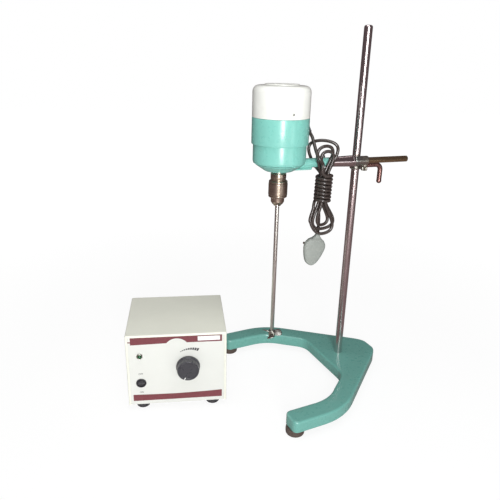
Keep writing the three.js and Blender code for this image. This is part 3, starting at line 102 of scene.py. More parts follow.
def place(x, y, z):
    return Matrix.Translation((x, y, z))


def facing(point, way):
    """A frame at a point whose Z points along a way."""
    return Matrix.Translation(point) @ way.to_track_quat("Z", "Y").to_matrix().to_4x4()


def corners_in(matrix, name):
    """The corners of a CAD node's mesh, in the frame of a matrix."""
    inverse = matrix.inverted()
    return [inverse @ vertex.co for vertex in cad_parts[name].data.vertices]


def ends_along(matrix, name):
    """The lowest and the highest Z of a CAD node's mesh, in the frame of a matrix."""
    levels = [corner.z for corner in corners_in(matrix, name)]
    return min(levels), max(levels)


ROD = Node("stand_rod")
CAP = Node("motor_cap")
ARM_ROD = Node("arm_rod")
ARM_RADIUS = 6 * MM
ARM_OFFSET = 20 * MM
TO_MOTOR = (CAP.middle - ROD.middle).xy
BASE_TURN = math.atan2(TO_MOTOR.y, TO_MOTOR.x)
ARM_TURN = BASE_TURN - math.asin(ARM_OFFSET / TO_MOTOR.length)
MOTOR_X = math.sqrt(TO_MOTOR.length**2 - ARM_OFFSET**2)

TO_X = turn(QUARTER_TURN, "Y")
BENCH = place(ROD.middle.x, ROD.middle.y, 0)
BASE = BENCH @ turn(BASE_TURN, "Z")
ARM = BENCH @ place(0, 0, ARM_ROD.middle.z) @ turn(ARM_TURN, "Z")
HEAD = ARM @ place(MOTOR_X, ARM_OFFSET, 0)
ALONG_ARM = ARM @ place(0, ARM_OFFSET, 0) @ TO_X
MOTOR = place(CAP.middle.x, CAP.middle.y, 0)

CASE = Node("regulator_cover")
PANEL = Node("regulator_panel")
CASE_CORNER = place(*CASE.low)
PANEL_FRONT = place(CASE.low.x, PANEL.low.y, CASE.low.z) @ turn(QUARTER_TURN, "X")


def out_of_panel(node):
    """A frame on the panel's face at a node's middle, whose Z points out of the panel."""
    return place(node.middle.x, PANEL.low.y, node.middle.z) @ turn(QUARTER_TURN, "X")


def out_of_back(node):
    """A frame on the case's back at a node's middle, whose Z points out of the back."""
    return place(node.middle.x, CASE.high.y, node.middle.z) @ turn(-QUARTER_TURN, "X")


# Settings


def length(millimetres, name, description):
    return bpy.props.FloatProperty(
        name=name, description=description, default=millimetres * MM, min=0, unit="LENGTH", precision=4
    )


def count(number, name, description):
    return bpy.props.IntProperty(name=name, description=description, default=number, min=1)


def power(watts, name, description):
    return bpy.props.FloatProperty(name=name, description=description, default=watts, min=0, unit="POWER")


def colour(value, name, description):
    return bpy.props.FloatVectorProperty(
        name=name, description=description, default=value, size=3, subtype="COLOR", min=0, max=1
    )


class StandSettings(bpy.types.PropertyGroup):
    edge: length(4.5, "Edge", "Rounding of the base casting's upper edge")
    lower_edge: length(1.2, "Lower edge", "Rounding of the base casting's lower edge")
    foot_edge: length(4, "Foot edge", "Rounding of a rubber foot's lower edge")
    foot_groove: length(0.8, "Foot groove", "Depth of the groove round a rubber foot")
    rod_crown: length(4, "Rod crown", "Rounding of the upright rod's end")
    stud: length(3, "Foot stud", "Radius of the stud above a rubber foot")


class ClampSettings(bpy.types.PropertyGroup):
    hub_edge: length(1.4, "Hub edge", "Rounding of the clamp's hubs")
    voxel: length(0.7, "Casting grain", "Fineness of the clamp's cast form")
    fillet_passes: count(10, "Fillet", "How far the clamp's inner corners are filled")
    arm_edge: length(1.2, "Arm edge", "Rounding of the arm rod's free end")
    handle: length(5, "Handle", "Radius of the bent handle's rod")
    knurls: count(28, "Knurls", "Ridges round the arm screw's head")


class MotorSettings(bpy.types.PropertyGroup):
    shoulder: length(11, "Shoulder", "Rounding of the cap's shoulder")
    lid_radius: length(31, "Lid", "Radius of the round lid on the cap")
    lip: length(0.7, "Lip", "Rounding of the housing's edges")
    voxel: length(1.1, "Casting grain", "Fineness of the bracket's cast form")
    fillet_passes: count(14, "Fillet", "How far the bracket's inner corners are filled")
    screw_radius: length(2.4, "Bracket screws", "Radius of the screw heads under the bracket")


class ChuckSettings(bpy.types.PropertyGroup):
    ridges: count(60, "Ridges", "Fine ridges round the chuck's sleeve")
    ridge: length(0.06, "Ridge", "Depth of the ridges")
    nose: length(12.8, "Nose", "Radius of the chuck's nose")
    blade_twist: bpy.props.FloatProperty(
        name="Blade twist", description="Twist of a blade from root to tip", default=0.35, subtype="ANGLE"
    )


class CordSettings(bpy.types.PropertyGroup):
    diameter: length(6.2, "Diameter", "Diameter of the mains lead")
    gland_rings: count(5, "Gland rings", "Rings round the gland's sleeve")


class RegulatorSettings(bpy.types.PropertyGroup):
    sheet: length(1.5, "Sheet", "Thickness of the cover's sheet")
    bend: length(2.6, "Bend", "Radius of the cover's folded corners")
    lip: length(4.6, "Lip", "Width of the cover's front lip")
    print_depth: length(0.12, "Print", "Thickness of the printed bands and marks")
    flutes: count(30, "Flutes", "Flutes round the speed knob")
    flute: length(0.55, "Flute", "Depth of a flute")
    caption: length(5, "Caption", "Height of the switch's captions")


class ColourSettings(bpy.types.PropertyGroup):
    paint: colour((0.222, 0.59, 0.513), "Sea green", "Enamel on the stand and the motor")
    white: colour((0.92, 0.93, 0.88), "White", "Enamel on the motor's cap")
    cream: colour((0.83, 0.835, 0.735), "Cream", "Paint on the regulator's cover")
    panel: colour((0.73, 0.74, 0.70), "Panel", "Paint on the regulator's front")
    band: colour((0.20, 0.055, 0.065), "Bands", "Printed bands on the panel")
    ink: colour((0.05, 0.05, 0.055), "Ink", "Printed marks on the panel")
    # The chrome's warm pinkish tint is partly painted reflection of brownish surroundings, over the plating's
    # own pale grey.
    chrome: colour((0.70, 0.62, 0.62), "Chrome", "Plating of the rod and the arm's sleeve")
    nickel: colour((0.47, 0.51, 0.48), "Nickel", "Plating of the clamp and the screws")
    handle: colour((0.50, 0.30, 0.27), "Handle", "Worn steel of the bent handle")
    brass: colour((0.62, 0.50, 0.30), "Brass", "Dull brass of the arm rod")
    steel: colour((0.86, 0.88, 0.82), "Steel", "Ground steel of the shaft and the impeller")
    dark_steel: colour((0.66, 0.58, 0.47), "Dark steel", "Darkened steel of the chuck")
    foot: colour((0.085, 0.06, 0.05), "Feet", "Rubber of the stand's feet")
    cord: colour((0.042, 0.032, 0.028), "Lead", "Rubber of the mains lead")
    plug: colour((0.31, 0.335, 0.31), "Plug", "Moulded rubber of the plug")
    black: colour((0.042, 0.042, 0.048), "Black", "Moulded plastic and the regulator's feet")
    lamp: colour((0.012, 0.10, 0.035), "Lamp", "Lens of the pilot lamp")


class StudioSettings(bpy.types.PropertyGroup):
    key: power(44, "Key", "Power of the key lamp")
    fill: power(14, "Fill", "Power of the top lamp")
    side: power(1.6, "Side", "Power of the low side lamp")
    ambient: bpy.props.FloatProperty(
        name="Ambient", description="Strength of the world's light", default=0.24, min=0
    )
    mirrored: colour((0.10, 0.075, 0.08), "Mirrored", "Colour of the surroundings in metal and gloss")
    floor: colour((0.95, 0.95, 0.95), "Floor", "Colour of the floor")
    floor_mirrored: colour((0.30, 0.22, 0.22), "Mirrored floor", "Colour of the floor in metal and gloss")


SETTINGS = {
    "stirrer_stand": StandSettings,
    "stirrer_clamp": ClampSettings,
    "stirrer_motor": MotorSettings,
    "stirrer_chuck": ChuckSettings,
    "stirrer_cord": CordSettings,
    "stirrer_regulator": RegulatorSettings,
    "stirrer_colours": ColourSettings,
    "stirrer_studio": StudioSettings,
}


# Materials as expressions


class Value:
    """A socket in a tree of nodes. Arithmetic on it adds Math nodes."""

    def __init__(self, tree, socket):
        self.tree = tree
        self.socket = socket

    def math(self, operation, first, second):
        return self.tree.add("ShaderNodeMath", {"operation": operation}, {0: first, 1: second})

    def __add__(self, other):
        return self.math("ADD", self, other)

    def __radd__(self, other):
        return self.math("ADD", other, self)

    def __mul__(self, other):
        return self.math("MULTIPLY", self, other)

    def __rmul__(self, other):
        return self.math("MULTIPLY", other, self)


class Tree:
    """The nodes of a material or of the world, emptied and written anew."""

    def __init__(self, owner):
        owner.use_nodes = True
        self.nodes = owner.node_tree.nodes
        self.links = owner.node_tree.links
        self.nodes.clear()

    def put(self, socket, value):
        if isinstance(value, Value):
            self.links.new(value.socket, socket)
        elif socket.type == "RGBA" and len(value) == 3:
            socket.default_value = (*value, 1)
        else:
            socket.default_value = value

    def add(self, kind, settings=None, sockets=None, out=0):
        """Adds any node: its settings first, then the values or links of its sockets."""
        node = self.nodes.new(kind)
        for name, value in (settings or {}).items():
            setattr(node, name, value)
        for key, value in (sockets or {}).items():
            self.put(node.inputs[key], value)
        return Value(self, node.outputs[out])

    def show(self, output_kind, shader):
        """Adds the output node and sends a shader to it."""
        self.put(self.nodes.new(output_kind).inputs["Surface"], shader)

    def between(self, value, low, high, start=0, end=1):
        """value spread from low..high to start..end, and held there."""
        sockets = {"Value": value, "From Min": low, "From Max": high, "To Min": start, "To Max": end}
        return self.add("ShaderNodeMapRange", {"clamp": True}, sockets)

    def mix(self, mask, first, second):
        """The first colour where the mask is 0, and the second where it is 1."""
        return self.add("ShaderNodeMix", {"data_type": "RGBA"}, {0: mask, 6: first, 7: second}, out=2)


class Finish(Tree):
    """A Principled material. fixed holds sockets that are the same all over it."""

    def __init__(self, name, **fixed):
        self.material = bpy.data.materials.new(name)
        super().__init__(self.material)
        shader = self.add("ShaderNodeBsdfPrincipled")
        self.inputs = shader.socket.node.inputs
        self.show("ShaderNodeOutputMaterial", shader)
        self.place = self.add("ShaderNodeTexCoord", out="Object")
        for socket, value in fixed.items():
            self.feed(socket.replace("_", " ").title().replace("Ior", "IOR"), value)

    def feed(self, name, value):
        self.put(self.inputs[name], value)

    def noise(self, scale, detail=4, roughness=0.5, stretch=(1, 1, 1)):
        at = self.add("ShaderNodeMapping", {}, {"Vector": self.place, "Scale": stretch})
        sockets = {"Vector": at, "Scale": scale, "Detail": detail, "Roughness": roughness}
        return self.add("ShaderNodeTexNoise", {}, sockets)

    def bump(self, height, distance, strength):
        sockets = {"Height": height, "Distance": distance, "Strength": strength}
        self.feed("Normal", self.add("ShaderNodeBump", {}, sockets))


# Finishes

GRIME = (0.25, 0.2, 0.14)
PALE_GRIME = (0.55, 0.5, 0.4)
DUST = (0.42, 0.38, 0.34)
LEAD_DUST = (0.16, 0.12, 0.10)
GREY_WEAR = (0.25, 0.25, 0.25)
RUST = (0.12, 0.06, 0.035)
OLD_OIL = (0.05, 0.035, 0.03)
BRASS_TARNISH = (0.16, 0.09, 0.04)
LABEL_WHITE = (0.88, 0.88, 0.86)
SHEET_IRON = (0.17, 0.18, 0.19)
COPPER = (0.42, 0.13, 0.05)
BOARD_DARK = (0.08, 0.13, 0.04)
BOARD_PALE = (0.14, 0.19, 0.07)

# How far noise is squeezed along X, Y and Z. Little along an axis makes lines that run along it.
NO_LINES = (1, 1, 1)
UPRIGHT_LINES = (1, 1, 0.04)
SIDEWAYS_LINES = (0.04, 1, 1)
LEVEL_LINES = (0.04, 0.04, 1)
TURNED_RINGS = (0.2, 0.2, 8)
STREAKS = (1, 1, 3)


def shade(value, share):
    """A colour made darker or lighter by a share."""
    return tuple(min(1, channel * share) for channel in value)


def toward(value, other, share):
    return tuple(lerp(a, b, share) for a, b in zip(value, other))


def enamel(name, paint, dirt=GRIME, dirt_share=0.10, roughness=0.26):
    """Stove enamel: an even coat with orange peel, faint clouding and a little grime."""
    finish = Finish(name, ior=1.5, coat_weight=0.7, coat_roughness=0.17)
    clouds = finish.between(finish.noise(9, detail=5, roughness=0.55), 0.35, 0.7)
    body = finish.mix(clouds, shade(paint, 0.965), shade(paint, 1.03))
    grime = finish.between(finish.noise(38, detail=6, roughness=0.65), 0.56, 0.74, 0, dirt_share)
    scuffs = finish.noise(120, detail=5, roughness=0.7)
    peel = finish.noise(420, detail=2) + finish.noise(60, detail=2) * 1.5
    finish.feed("Base Color", finish.mix(grime, body, dirt))
    finish.feed("Roughness", finish.between(scuffs, 0.4, 0.75, roughness, roughness + 0.22))
    finish.bump(peel, 0.03 * MM, 0.6)
    return finish.material


def powder_coat(name, paint, roughness):
    """Satin paint on sheet, with its fine grain and a few marks of handling."""
    finish = Finish(name, ior=1.45)
    clouds = finish.between(finish.noise(7, detail=5, roughness=0.6), 0.3, 0.7)
    body = finish.mix(clouds, shade(paint, 0.955), shade(paint, 1.03))
    marks = finish.between(finish.noise(26, detail=8, roughness=0.7, stretch=STREAKS), 0.60, 0.78, 0, 0.16)
    finish.feed("Base Color", finish.mix(marks, body, shade(paint, 0.72)))
    finish.feed("Roughness", finish.between(finish.noise(90), 0.3, 0.7, roughness, roughness + 0.12))
    finish.bump(finish.noise(1500, detail=2), 0.04 * MM, 0.5)
    return finish.material


def plated(
    name, metal, tarnish, roughness,
    stretch=UPRIGHT_LINES, worn=0.45, grain=900, relief=0.006 * MM, dulled=0.16,
):
    """Plated or ground metal: fine lines along or round the piece, and tarnish in patches."""
    finish = Finish(name, metallic=1.0)
    patches = finish.between(finish.noise(28, detail=7, roughness=0.65), 0.42, 0.72, 0, worn)
    lines = finish.between(finish.noise(grain, detail=3, roughness=0.6, stretch=stretch), 0.3, 0.7)
    plain = finish.mix(lines, shade(metal, 0.86), shade(metal, 1.12))
    finish.feed("Base Color", finish.mix(patches, plain, tarnish))
    finish.feed("Roughness", finish.between(patches, 0, worn, roughness, roughness + dulled))
    finish.bump(finish.noise(grain, detail=2, stretch=stretch), relief, 0.2)
    return finish.material


def rubber(name, tint, roughness=0.6, dust=0.25, grain=700):
    """Matt rubber with dust in its pores."""
    finish = Finish(name, ior=1.5)
    dusty = finish.between(finish.noise(60, detail=6, roughness=0.7), 0.45, 0.75, 0, dust)
    finish.feed("Base Color", finish.mix(dusty, tint, toward(tint, DUST, 0.5)))
    finish.feed("Roughness", finish.between(dusty, 0, dust, roughness, roughness + 0.2))
    finish.bump(finish.noise(grain, detail=3), 0.08 * MM, 0.6)
    return finish.material


def lead_sheath(tint):
    """Shiny rubber sheath, with the faint lay of the cores under it."""
    finish = Finish("lead_sheath", ior=1.5, coat_weight=0.8, coat_roughness=0.16)
    most_worn = 0.5
    worn = finish.between(finish.noise(80, detail=6, roughness=0.65), 0.45, 0.75, 0, most_worn)
    finish.feed("Base Color", finish.mix(worn, tint, toward(tint, LEAD_DUST, 0.45)))
    finish.feed("Roughness", finish.between(worn, 0, most_worn, 0.30, 0.48))
    finish.bump(finish.noise(260, detail=3) + finish.noise(900, detail=2) * 0.4, 0.12 * MM, 0.6)
    return finish.material


def moulded(name, tint, roughness=0.3, grain=1600):
    """Hard moulded plastic with a fine spark finish."""
    finish = Finish(name, ior=1.49)
    wear = finish.between(finish.noise(70, detail=6, roughness=0.7), 0.5, 0.8, 0, 0.35)
    finish.feed("Base Color", finish.mix(wear, tint, toward(tint, GREY_WEAR, 0.25)))
    finish.feed("Roughness", finish.between(finish.noise(150), 0.3, 0.7, roughness, roughness + 0.15))
    finish.bump(finish.noise(grain, detail=2), 0.03 * MM, 0.5)
    return finish.material


def printed(name, ink):
    """Screen print, a little uneven."""
    finish = Finish(name, ior=1.45)
    uneven = finish.between(finish.noise(300, detail=3), 0.3, 0.7)
    finish.feed("Base Color", finish.mix(uneven, shade(ink, 0.92), shade(ink, 1.12)))
    finish.feed("Roughness", finish.between(finish.noise(500, detail=2), 0.3, 0.7, 0.32, 0.45))
    return finish.material


def lamp_lens(tint):
    """A glossy lens with facets inside it, faintly lit."""
    finish = Finish("lamp_lens", ior=1.49, roughness=0.08, coat_weight=0.5)
    facets = finish.between(finish.noise(900, detail=1), 0.4, 0.6)
    finish.feed("Base Color", finish.mix(facets, shade(tint, 0.35), tint))
    finish.feed("Emission Color", finish.mix(facets, shade(tint, 0.5), shade(tint, 1.6)))
    finish.feed("Emission Strength", 0.15)
    return finish.material


def stacked_sheets(metal):
    """Stampings pressed together, seen as fine level lines."""
    finish = Finish("stacked_sheets", metallic=1.0)
    level = finish.add("ShaderNodeTexWave", {"bands_direction": "Z"}, {"Vector": finish.place, "Scale": 300})
    finish.feed("Base Color", finish.mix(level, shade(metal, 0.55), metal))
    finish.feed("Roughness", finish.between(finish.noise(80), 0.3, 0.7, 0.4, 0.6))
    finish.bump(level, 0.1 * MM, 0.6)
    return finish.material


def wound_wire(tint):
    """Enamelled wire laid side by side."""
    finish = Finish("wound_wire", metallic=0.85)
    sockets = {"Vector": finish.place, "Scale": 330, "Distortion": 1.5, "Detail": 2}
    strands = finish.add("ShaderNodeTexWave", {"bands_direction": "Z"}, sockets)
    finish.feed("Base Color", finish.mix(strands, shade(tint, 0.4), tint))
    finish.feed("Roughness", finish.between(strands, 0, 1, 0.5, 0.28))
    finish.bump(strands, 0.3 * MM, 0.8)
    return finish.material


def fibre_board():
    """The green of a circuit board, with its weave as flecks."""
    finish = Finish("fibre_board", ior=1.5)
    flecks = finish.between(finish.noise(400, detail=5), 0.35, 0.65)
    finish.feed("Base Color", finish.mix(flecks, BOARD_DARK, BOARD_PALE))
    finish.feed("Roughness", finish.between(flecks, 0, 1, 0.4, 0.6))
    finish.bump(flecks, 0.05 * MM, 0.5)
    return finish.material


FINISHES = {}


def make_paints(tints):
    FINISHES.update(
        paint=enamel("sea_green_enamel", tints.paint),
        # The stand's enamel is the motor's sea green made darker. It is a shaded copy of one paint: painted
        # shade that holds back the top lamp's light on the base.
        base=enamel("stand_enamel_painted_shade", shade(tints.paint, 0.70)),
        white=enamel("white_enamel", tints.white, dirt=PALE_GRIME, dirt_share=0.12, roughness=0.28),
        cream=powder_coat("cream_paint", tints.cream, roughness=0.5),
        panel=powder_coat("panel_paint", tints.panel, roughness=0.38),
        band=printed("band_print", tints.band),
        ink=printed("ink_print", tints.ink),
        label=printed("label_white", LABEL_WHITE),
    )


def make_metals(tints):
    chrome, nickel, handle = tints.chrome, tints.nickel, tints.handle
    FINISHES.update(
        # chrome and sleeve_chrome carry the chrome's warm tint, which is partly painted reflection.
        chrome=plated("chrome", chrome, shade(chrome, 0.8), 0.25, worn=0.2, relief=0.0002 * MM, dulled=0.02),
        sleeve=plated("sleeve_chrome", chrome, shade(chrome, 0.7), 0.12, SIDEWAYS_LINES, worn=0.3),
        nickel=plated("nickel", nickel, toward(nickel, tints.brass, 0.8), 0.26, NO_LINES, worn=0.8),
        handle=plated("handle_steel", handle, shade(handle, 0.7), 0.24, NO_LINES, worn=0.3),
        brass=plated("dull_brass", tints.brass, BRASS_TARNISH, 0.24, LEVEL_LINES, worn=0.6),
        steel=plated("ground_steel", tints.steel, RUST, 0.3, worn=0.15, relief=0.0003 * MM, dulled=0.05),
        impeller=plated("impeller_steel", shade(tints.steel, 0.75), RUST, 0.3, NO_LINES, worn=0.9),
        dark_steel=plated(
            "dark_steel", tints.dark_steel, OLD_OIL, 0.27,
            TURNED_RINGS, worn=0.3, grain=70, relief=0.002 * MM, dulled=0.06,
        ),
        laminated=stacked_sheets(SHEET_IRON),
        copper=wound_wire(COPPER),
    )


def make_plastics(tints):
    FINISHES.update(
        board=fibre_board(),
        foot=rubber("foot_rubber", tints.foot),
        box_foot=rubber("box_foot_rubber", tints.black, roughness=0.5, dust=0.15),
        cord=lead_sheath(tints.cord),
        plug=rubber("plug_rubber", tints.plug, roughness=0.5, dust=0.3, grain=420),
        black=moulded("black_plastic", tints.black),
        knob=moulded("knob_plastic", shade(tints.black, 1.3), roughness=0.24),
        gland=moulded("gland_rubber", shade(tints.black, 1.6), roughness=0.45, grain=500),
        lamp=lamp_lens(tints.lamp),
    )


def make_finishes(tints):
    make_paints(tints)
    make_metals(tints)
    make_plastics(tints)


# Making meshes

SAME_PLACE = 0.001 * MM
NO_LENGTH = 0.0001 * MM
NEARLY_STRAIGHT = QUARTER_TURN * 0.99
LEAST_MITRE = 0.4
SHARP_DEGREES = 35


def softened(corners, steps=ROUND_STEPS):
    """A closed outline from corners (a, b, rounding), each rounded corner as an arc."""
    points = []
    for i, corner in enumerate(corners):
        here = Vector(corner[:2])
        rounding = corner[2] if len(corner) > 2 else 0
        back = Vector(corners[i - 1][:2]) - here
        ahead = Vector(corners[(i + 1) % len(corners)][:2]) - here
        half = back.angle(ahead) / 2 if back.length and ahead.length else QUARTER_TURN
        if not rounding or half > NEARLY_STRAIGHT:
            points.append(here)
            continue
        run = min(rounding / math.tan(half), back.length / 2, ahead.length / 2)
        radius = run * math.tan(half)
        start = here + back.normalized() * run
        end = here + ahead.normalized() * run
        centre = here + (back.normalized() + ahead.normalized()).normalized() * (radius / math.sin(half))
        first = start - centre
        sweep = first.angle_signed(end - centre, 0)
        for k in range(steps + 1):
            points.append(centre + Matrix.Rotation(-sweep * k / steps, 2) @ first)
    return points


def skin(bm, rings, closed_ring=True, closed_way=False):
    """Faces between neighbouring rings of vertices."""
    uppers = rings[1:] + rings[:1] if closed_way else rings[1:]
    for lower, upper in zip(rings, uppers):
        last = len(lower) if closed_ring else len(lower) - 1
        for k in range(last):
            after = (k + 1) % len(lower)
            bm.faces.new((lower[k], lower[after], upper[after], upper[k]))


def cleaned(bm):
    """The mesh with doubled vertices merged, empty faces gone and its faces turned outward."""
    bmesh.ops.remove_doubles(bm, verts=bm.verts, dist=SAME_PLACE)
    bmesh.ops.dissolve_degenerate(bm, edges=bm.edges, dist=NO_LENGTH)
    bmesh.ops.recalc_face_normals(bm, faces=bm.faces)
    return bm


def lathe(corners, sides=LATHE_SIDES, ripple=None):
    """A solid of revolution about Z from corners (radius, z, rounding). ripple(angle, r, z) moves r."""
    bm = bmesh.new()
    rings = []
    for radius, z in softened(corners):
        ring = []
        for k in range(sides):
            angle = FULL_TURN * k / sides
            out = radius + (ripple(angle, radius, z) if ripple else 0)
            ring.append(bm.verts.new((out * math.cos(angle), out * math.sin(angle), z)))
        rings.append(ring)
    skin(bm, rings, closed_way=True)
    return cleaned(bm)


def bored(radius, bore, start, end, first_edge=0, last_edge=0, sides=LATHE_SIDES):
    """A round hub along Z with a hole through it, its two outer edges rounded."""
    return lathe([(bore, start), (radius, start, first_edge), (radius, end, last_edge), (bore, end)], sides)


def cylinder(radius, start, end, first_edge=0, last_edge=0, sides=LATHE_SIDES):
    """A round bar along Z, its two edges rounded."""
    return bored(radius, 0, start, end, first_edge, last_edge, sides)


def ball(radius):
    bm = bmesh.new()
    bmesh.ops.create_uvsphere(bm, u_segments=SMALL_SIDES, v_segments=BALL_LEVELS, radius=radius)
    return bm


def inset(outline, distance):
    """A closed outline drawn in by a distance, corner by corner."""
    area = sum(a.x * b.y - b.x * a.y for a, b in zip(outline, outline[1:] + outline[:1]))
    side = 1 if area > 0 else -1
    drawn = []
    for i, here in enumerate(outline):
        before = (here - outline[i - 1]).normalized()
        after = (outline[(i + 1) % len(outline)] - here).normalized()
        inward = Vector((-(before.y + after.y), before.x + after.x)) * side
        mitre = max(LEAST_MITRE, inward.length / 2)
        drawn.append(here + inward.normalized() * (distance / mitre))
    return drawn


def rounded_edge(rounding, level, way, steps):
    """A slab's edge from its flat face to its side, as distances inward and levels."""
    if not rounding:
        return [(0, level)]
    angles = [QUARTER_TURN * k / steps for k in range(steps + 1)]
    return [(rounding * (1 - math.sin(a)), level + way * rounding * (1 - math.cos(a))) for a in angles]


def slab(outline, bottom, top, upper=0, lower=0, steps=ROUND_STEPS):
    """A flat solid from an outline in XY, its upper and lower edges rounded."""
    bm = bmesh.new()
    levels = rounded_edge(lower, bottom, 1, steps) + rounded_edge(upper, top, -1, steps)[::-1]
    rings = []
    for distance, z in levels:
        points = inset(outline, distance) if distance else outline
        rings.append([bm.verts.new((p.x, p.y, z)) for p in points])
    skin(bm, rings)
    bm.faces.new(rings[0][::-1])
    bm.faces.new(rings[-1])
    return cleaned(bm)


def rounded_rectangle(x0, x1, y0, y1, corner):
    return softened([(x0, y0, corner), (x1, y0, corner), (x1, y1, corner), (x0, y1, corner)])


def brick(low, high, edge):
    """A block between two corners, its edges eased."""
    bm = bmesh.new()
    size = Vector(high) - Vector(low)
    middle = (Vector(high) + Vector(low)) / 2
    bmesh.ops.create_cube(bm, size=1, matrix=Matrix.Translation(middle) @ Matrix.Diagonal((*size, 1)))
    bmesh.ops.bevel(bm, geom=bm.edges[:], offset=edge, segments=3, affect="EDGES", profile=0.5)
    return bm


def swept(points, radius):
    """A round bar along points, with flat ends."""
    bm = bmesh.new()
    neighbours = zip([points[0], *points], [*points[1:], points[-1]])
    ways = [(after - before).normalized() for before, after in neighbours]
    across = ways[0].orthogonal().normalized()
    rings = []
    for i, point in enumerate(points):
        if i:
            across = ways[i - 1].rotation_difference(ways[i]) @ across
        ring = []
        for k in range(SMALL_SIDES):
            spoke = Quaternion(ways[i], FULL_TURN * k / SMALL_SIDES) @ across
            ring.append(bm.verts.new(point + spoke * radius))
        rings.append(ring)
    skin(bm, rings)
    bm.faces.new(rings[0][::-1])
    bm.faces.new(rings[-1])
    return cleaned(bm)


def moved(bm, matrix):
    bmesh.ops.transform(bm, matrix=matrix, verts=bm.verts)
    return bm


def joined(*parts):
    """One mesh of several, the first taking in the rest."""
    whole = parts[0]
    for part in parts[1:]:
        mesh = bpy.data.meshes.new("part")
        part.to_mesh(mesh)
        whole.from_mesh(mesh)
        bpy.data.meshes.remove(mesh)
        part.free()
    return whole


def linked(name, data):
    """An object of the scene, from its data."""
    made = bpy.data.objects.new(name, data)
    bpy.context.scene.collection.objects.link(made)
    return made


def smoothed(mesh):
    for polygon in mesh.polygons:
        polygon.use_smooth = True


def piece(name, bm, body, finish, matrix=None, replaces=(), sharp=SHARP_DEGREES):
    """A mesh as a piece of the object, in the row's frame, riding on a body. It stands in for the CAD
    nodes in replaces, and its edges stay sharp from an angle of sharp degrees."""
    if matrix is not None:
        moved(bm, matrix)
    mesh = bpy.data.meshes.new(name)
    bm.to_mesh(mesh)
    bm.free()
    smoothed(mesh)
    mesh.set_sharp_from_angle(angle=math.radians(sharp))
    mesh.materials.append(FINISHES[finish])
    made = linked(name, mesh)
    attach(made, body)
    if replaces:
        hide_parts(*replaces)
    return made


def with_modifiers(made, *modifiers):
    """Applies modifiers, each a type and its settings, to a piece's mesh."""
    for kind, settings in modifiers:
        modifier = made.modifiers.new(kind.lower(), kind)
        for name, value in settings.items():
            setattr(modifier, name, value)
    graph = bpy.context.evaluated_depsgraph_get()
    result = bpy.data.meshes.new_from_object(made.evaluated_get(graph))
    made.modifiers.clear()
    old = made.data
    made.data = result
    bpy.data.meshes.remove(old)
    smoothed(result)


def as_casting(made, sizes):
    """Runs the forms of a piece into one skin and fills its inner corners."""
    with_modifiers(
        made,
        ("REMESH", {"mode": "VOXEL", "voxel_size": sizes.voxel, "use_smooth_shade": True}),
        ("CORRECTIVE_SMOOTH", {"factor": 0.5, "iterations": sizes.fillet_passes, "use_only_smooth": True}),
    )


def keep(finish, *names):
    """A CAD node that stays as it is gets its finish."""
    for name in names:
        for material_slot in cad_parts[name].material_slots:
            material_slot.material = FINISHES[finish]


# Mains lead: the route of the CAD solid, in millimetres in the hank's frame of across, forward and up

HANK_CENTRE = 89
HANK_LEAN = 1.2
HANK_FORWARD = 13
RUN_TOP = -22
RUN_BOTTOM = -72
RUN_STEPS = 4
LOOP_STEPS = 24
RUN_RADIUS = 7.05
RUN_DEGREES = {"right": 0, "front_right": 60, "front_left": 120, "left": 180, "back_left": 240}
PLACES = {
    name: (RUN_RADIUS * math.cos(math.radians(a)), HANK_FORWARD + RUN_RADIUS * math.sin(math.radians(a)))
    for name, a in RUN_DEGREES.items()
}
PLACES["middle"] = (0, HANK_FORWARD)
BINDING = {"top": -21.7, "radius": 14, "pitch": 6.85, "turns": 7, "exit": 215, "bend": 12, "steps": 5}
FIRST_TOP = {"inner": 10.2, "outer": 10.2, "tip": 24, "fuller": 1.8}
SECOND_TOP = {"inner": 13.6, "outer": 13.6, "tip": 32.5, "fuller": 0}
THIRD_TOP = {"inner": 20.5, "outer": 20.5, "tip": 41, "behind": 14.8, "end": -26}
FIRST_FOOT = {"inner": 25, "outer": 20, "tip": -137, "fuller": 2, "drop": 14}
SECOND_FOOT = {"inner": 8.5, "outer": 13.5, "tip": -120.5, "fuller": 0}
THIRD_FOOT = {"inner": 12.5, "outer": 22.5, "tip": -129.5, "fuller": 0.2}
CROSSING = {"start": 55, "end": 125, "under_start": 160.5, "under_end": 176.5}
TAIL = {"end": -141.7, "back": 1.5, "steps": 8, "middle_share": 0.6, "back_share": 0.4}
DROP_POWER = 1.5
DROP_WIDEST_SHARE = 0.431
LEAD_ROUTE = [(-65.6, -1.5, 47.5), (-65.6, 9.5, 35), (-65.8, 20.5, 22), (-69.4, 28.4, 10.5)]
GLAND = {"turn": 200, "height": 73, "reach": 60, "knuckle": 7, "tail": 22, "mouth": 4.4, "gap": 0.3}
CORD_STEPS = 4
CORD_BEVEL = 5


def loop_end(start, end, side, size, ends, forward, first=0):
    """One end of a loop: out of a run, round the tip and back into the next run."""
    middle = (start[0] + end[0]) / 2
    spread = (start[0] - end[0]) / 2
    points = []
    for i in range(first, LOOP_STEPS + 1):
        angle = HALF_TURN * i / LOOP_STEPS
        cosine, sine = math.cos(angle), math.sin(angle)
        half = (size["inner"] if cosine > 0 else size["outer"]) / DROP_WIDEST_SHARE
        run_end = ends[0] if cosine > 0 else ends[1]
        across = middle * cosine**2 + spread * cosine + side * half * cosine * sine**DROP_POWER
        points.append((across, forward(angle, cosine, sine), run_end + (size["tip"] - run_end) * sine))
    return points


def between_runs(start, end, size):
    """How far forward a loop's end lies on its way from one run to the next, as loop_end asks for it."""
    middle = (start[1] + end[1]) / 2
    spread = (start[1] - end[1]) / 2
    return lambda angle, cosine, sine: middle + spread * cosine + size["fuller"] * sine


def top_of_loop(start, end, size):
    return loop_end(start, end, 1, size, (RUN_TOP, RUN_TOP), between_runs(start, end, size))


def foot_of_loop(start, end, size):
    return loop_end(start, end, -1, size, (RUN_BOTTOM, RUN_BOTTOM), between_runs(start, end, size))


